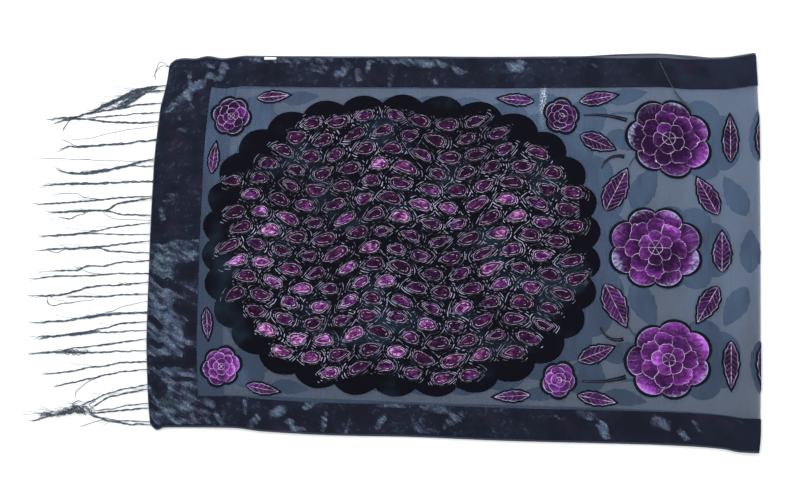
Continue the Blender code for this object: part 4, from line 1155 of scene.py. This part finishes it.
def hairs_on(paths, count, dice):
    """Centre lines of hairs that stand off the threads, each bowed aside and lifted over its length."""
    share = np.linspace(0, 1, HAIR_STEPS)
    chance = dice.random((7, count, 1))
    host = dice.integers(0, len(paths), count)
    begin = (chance[0, :, 0] * HAIR_STARTS * THREAD_STEPS).astype(int) + HAIR_FIRST
    x, y, _ = np.moveaxis(paths[host, begin][:, None], -1, 0)
    x = x - share * (HAIR_LENGTH + HAIR_EXTRA * chance[1])
    y = y + HAIR_BOW * (chance[2] - 0.5) * share**1.6
    y = y + HAIR_CURL * chance[3] * np.sin(share * (6 + 9 * chance[4]) + 6 * chance[5])
    z = FLOOR_GAP + HAIR_RADIUS + HAIR_LIFT * np.sin(math.pi * share) * chance[6] + HAIR_CLEAR
    return vectors(x, y, z), np.full((count, HAIR_STEPS), HAIR_RADIUS), chance[6, :, 0]


def fringe(name, strands, tangles, q_end, hairs, seed):
    """A fringe in one mesh: its strands' threads, its tangles and the hairs that stand off them."""
    dice = np.random.default_rng(seed)
    rows = [strand_threads(row, q_end, dice) for row in strands]
    rows += [strand_threads(row, None, dice) for row in tangles]
    paths, radii, chances = (np.concatenate(each) for each in zip(*rows))
    hair_paths, hair_radii, hair_chances = hairs_on(paths, hairs, dice)
    points, faces, numbers = threads(paths, radii, THREAD_SIDES, chances)
    hair_points, hair_faces, hair_numbers = threads(hair_paths, hair_radii, HAIR_SIDES, hair_chances)
    faces = np.concatenate([faces, hair_faces + len(points)])
    strand = {"strand": np.concatenate([numbers, hair_numbers])}
    return piece_of(name, np.concatenate([points, hair_points]), faces, yarn, strand)


upper_fringe = fringe("upper_fringe_yarn", UPPER_STRANDS, TANGLES, HALF_CUT, UPPER_HAIRS, UPPER_SEED)
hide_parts("upper_fringe")
under_fringe = fringe("under_fringe_yarn", UNDER_STRANDS, (), -HALF_CUT, UNDER_HAIRS, UNDER_SEED)
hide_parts("under_fringe")
v = stations(-WIDTH / 2, WIDTH / 2, HEADER_CELL)
for name, end in (("upper", HALF_CUT), ("under", -HALF_CUT)):
    roll(f"{name}_header", np.full_like(v, end), v, HEADER_HALF, 0)


# A loose thread from the hem that has fallen across the border and the ground near the fold: fine and pale
# where it crosses the pile, and doubled, so darker and thicker, on the sheer ground.
FALLEN = table(
    "at q v",
    (0, 0.107, 0.2430), (1, 0.100, 0.2270), (2, 0.091, 0.2100), (3, 0.081, 0.1960), (4, 0.070, 0.1850),
    (5, 0.066, 0.1790),
)
FALLEN_ON_GROUND = 2.3  # place along it where it leaves the pile
FALLEN_RADIUS, DOUBLED_RADIUS = 0.00045, 0.00140
FALLEN_TONE, DOUBLED_TONE = 0.30, 0.24
GROUND_RISE, PILE_CLIMB = 0.0007, 0.0006  # above the bare ground, and more above the pile
PILE_START, PILE_SLOPE = 0.2050, 0.008

at = np.linspace((0, FALLEN_ON_GROUND), (FALLEN_ON_GROUND, FALLEN[-1].at), THREAD_STEPS, axis=1)
q, v = through(FALLEN, "at", "q", at), through(FALLEN, "at", "v", at)
rise = GROUND_RISE + PILE_CLIMB * smooth_step((v - PILE_START) / PILE_SLOPE)
radii = np.full_like(at, FALLEN_RADIUS)
radii[1] = DOUBLED_RADIUS * (1 - 0.5 * np.linspace(0, 1, THREAD_STEPS) ** 3)
paths = lie(q, v, rise + FALLEN_RADIUS)
points, faces, numbers = threads(paths, radii, THREAD_SIDES, [FALLEN_TONE, DOUBLED_TONE])
piece_of("fallen_thread", points, faces, yarn, {"strand": numbers})


# The floor, the light and the camera: a plain white surface under a pale sky and two broad soft lights, seen
# from where the photo was taken.
FLOOR_SIZE = 6
FLOOR_WHITE = (0.86, 0.86, 0.86, 1)
STUDIO_WHITE = (0.95, 0.98, 1.0, 1)
SENSOR = 36  # millimetres across
SOFTBOXES = table(
    "name x y z size power",
    ("softbox_far", -0.5, 0.9, 1.5, 0.9, 16.0),
    ("softbox_side", 1.0, -0.3, 1.6, 0.8, 7.0),
)

bpy.ops.mesh.primitive_plane_add(size=FLOOR_SIZE)
floor = bpy.context.object
floor.name = "floor"
floor.data.materials.append(new_finish("floor_white").finish({"Base Color": FLOOR_WHITE, "Roughness": 0.9}))

world = bpy.data.worlds.new("studio")
world.use_nodes = True
world.node_tree.nodes["Background"].inputs["Color"].default_value = STUDIO_WHITE
world.node_tree.nodes["Background"].inputs["Strength"].default_value = 1.0
bpy.context.scene.world = world
bpy.context.scene.view_settings.view_transform = "Standard"

for row in SOFTBOXES:
    light = bpy.data.lights.new(row.name, "AREA")
    light.size, light.energy = row.size, row.power
    lamp = bpy.data.objects.new(row.name, light)
    bpy.context.scene.collection.objects.link(lamp)
    lamp.location = (row.x, row.y, row.z)
    tilt = math.atan2(math.hypot(row.x, row.y), row.z)
    lamp.rotation_euler = (tilt, 0, math.atan2(row.y, row.x) + math.pi / 2)

lens = bpy.data.cameras.new("camera")
lens.lens, lens.sensor_width = FOCAL_PIXELS / IMAGE_WIDTH * SENSOR, SENSOR
camera = bpy.data.objects.new("camera", lens)
bpy.context.scene.collection.objects.link(camera)
turned = Matrix(np.stack([rightward, upward, back], -1).tolist())
camera.matrix_world = Matrix.Translation(camera_spot.tolist()) @ turned.to_4x4()
bpy.context.scene.camera = camera
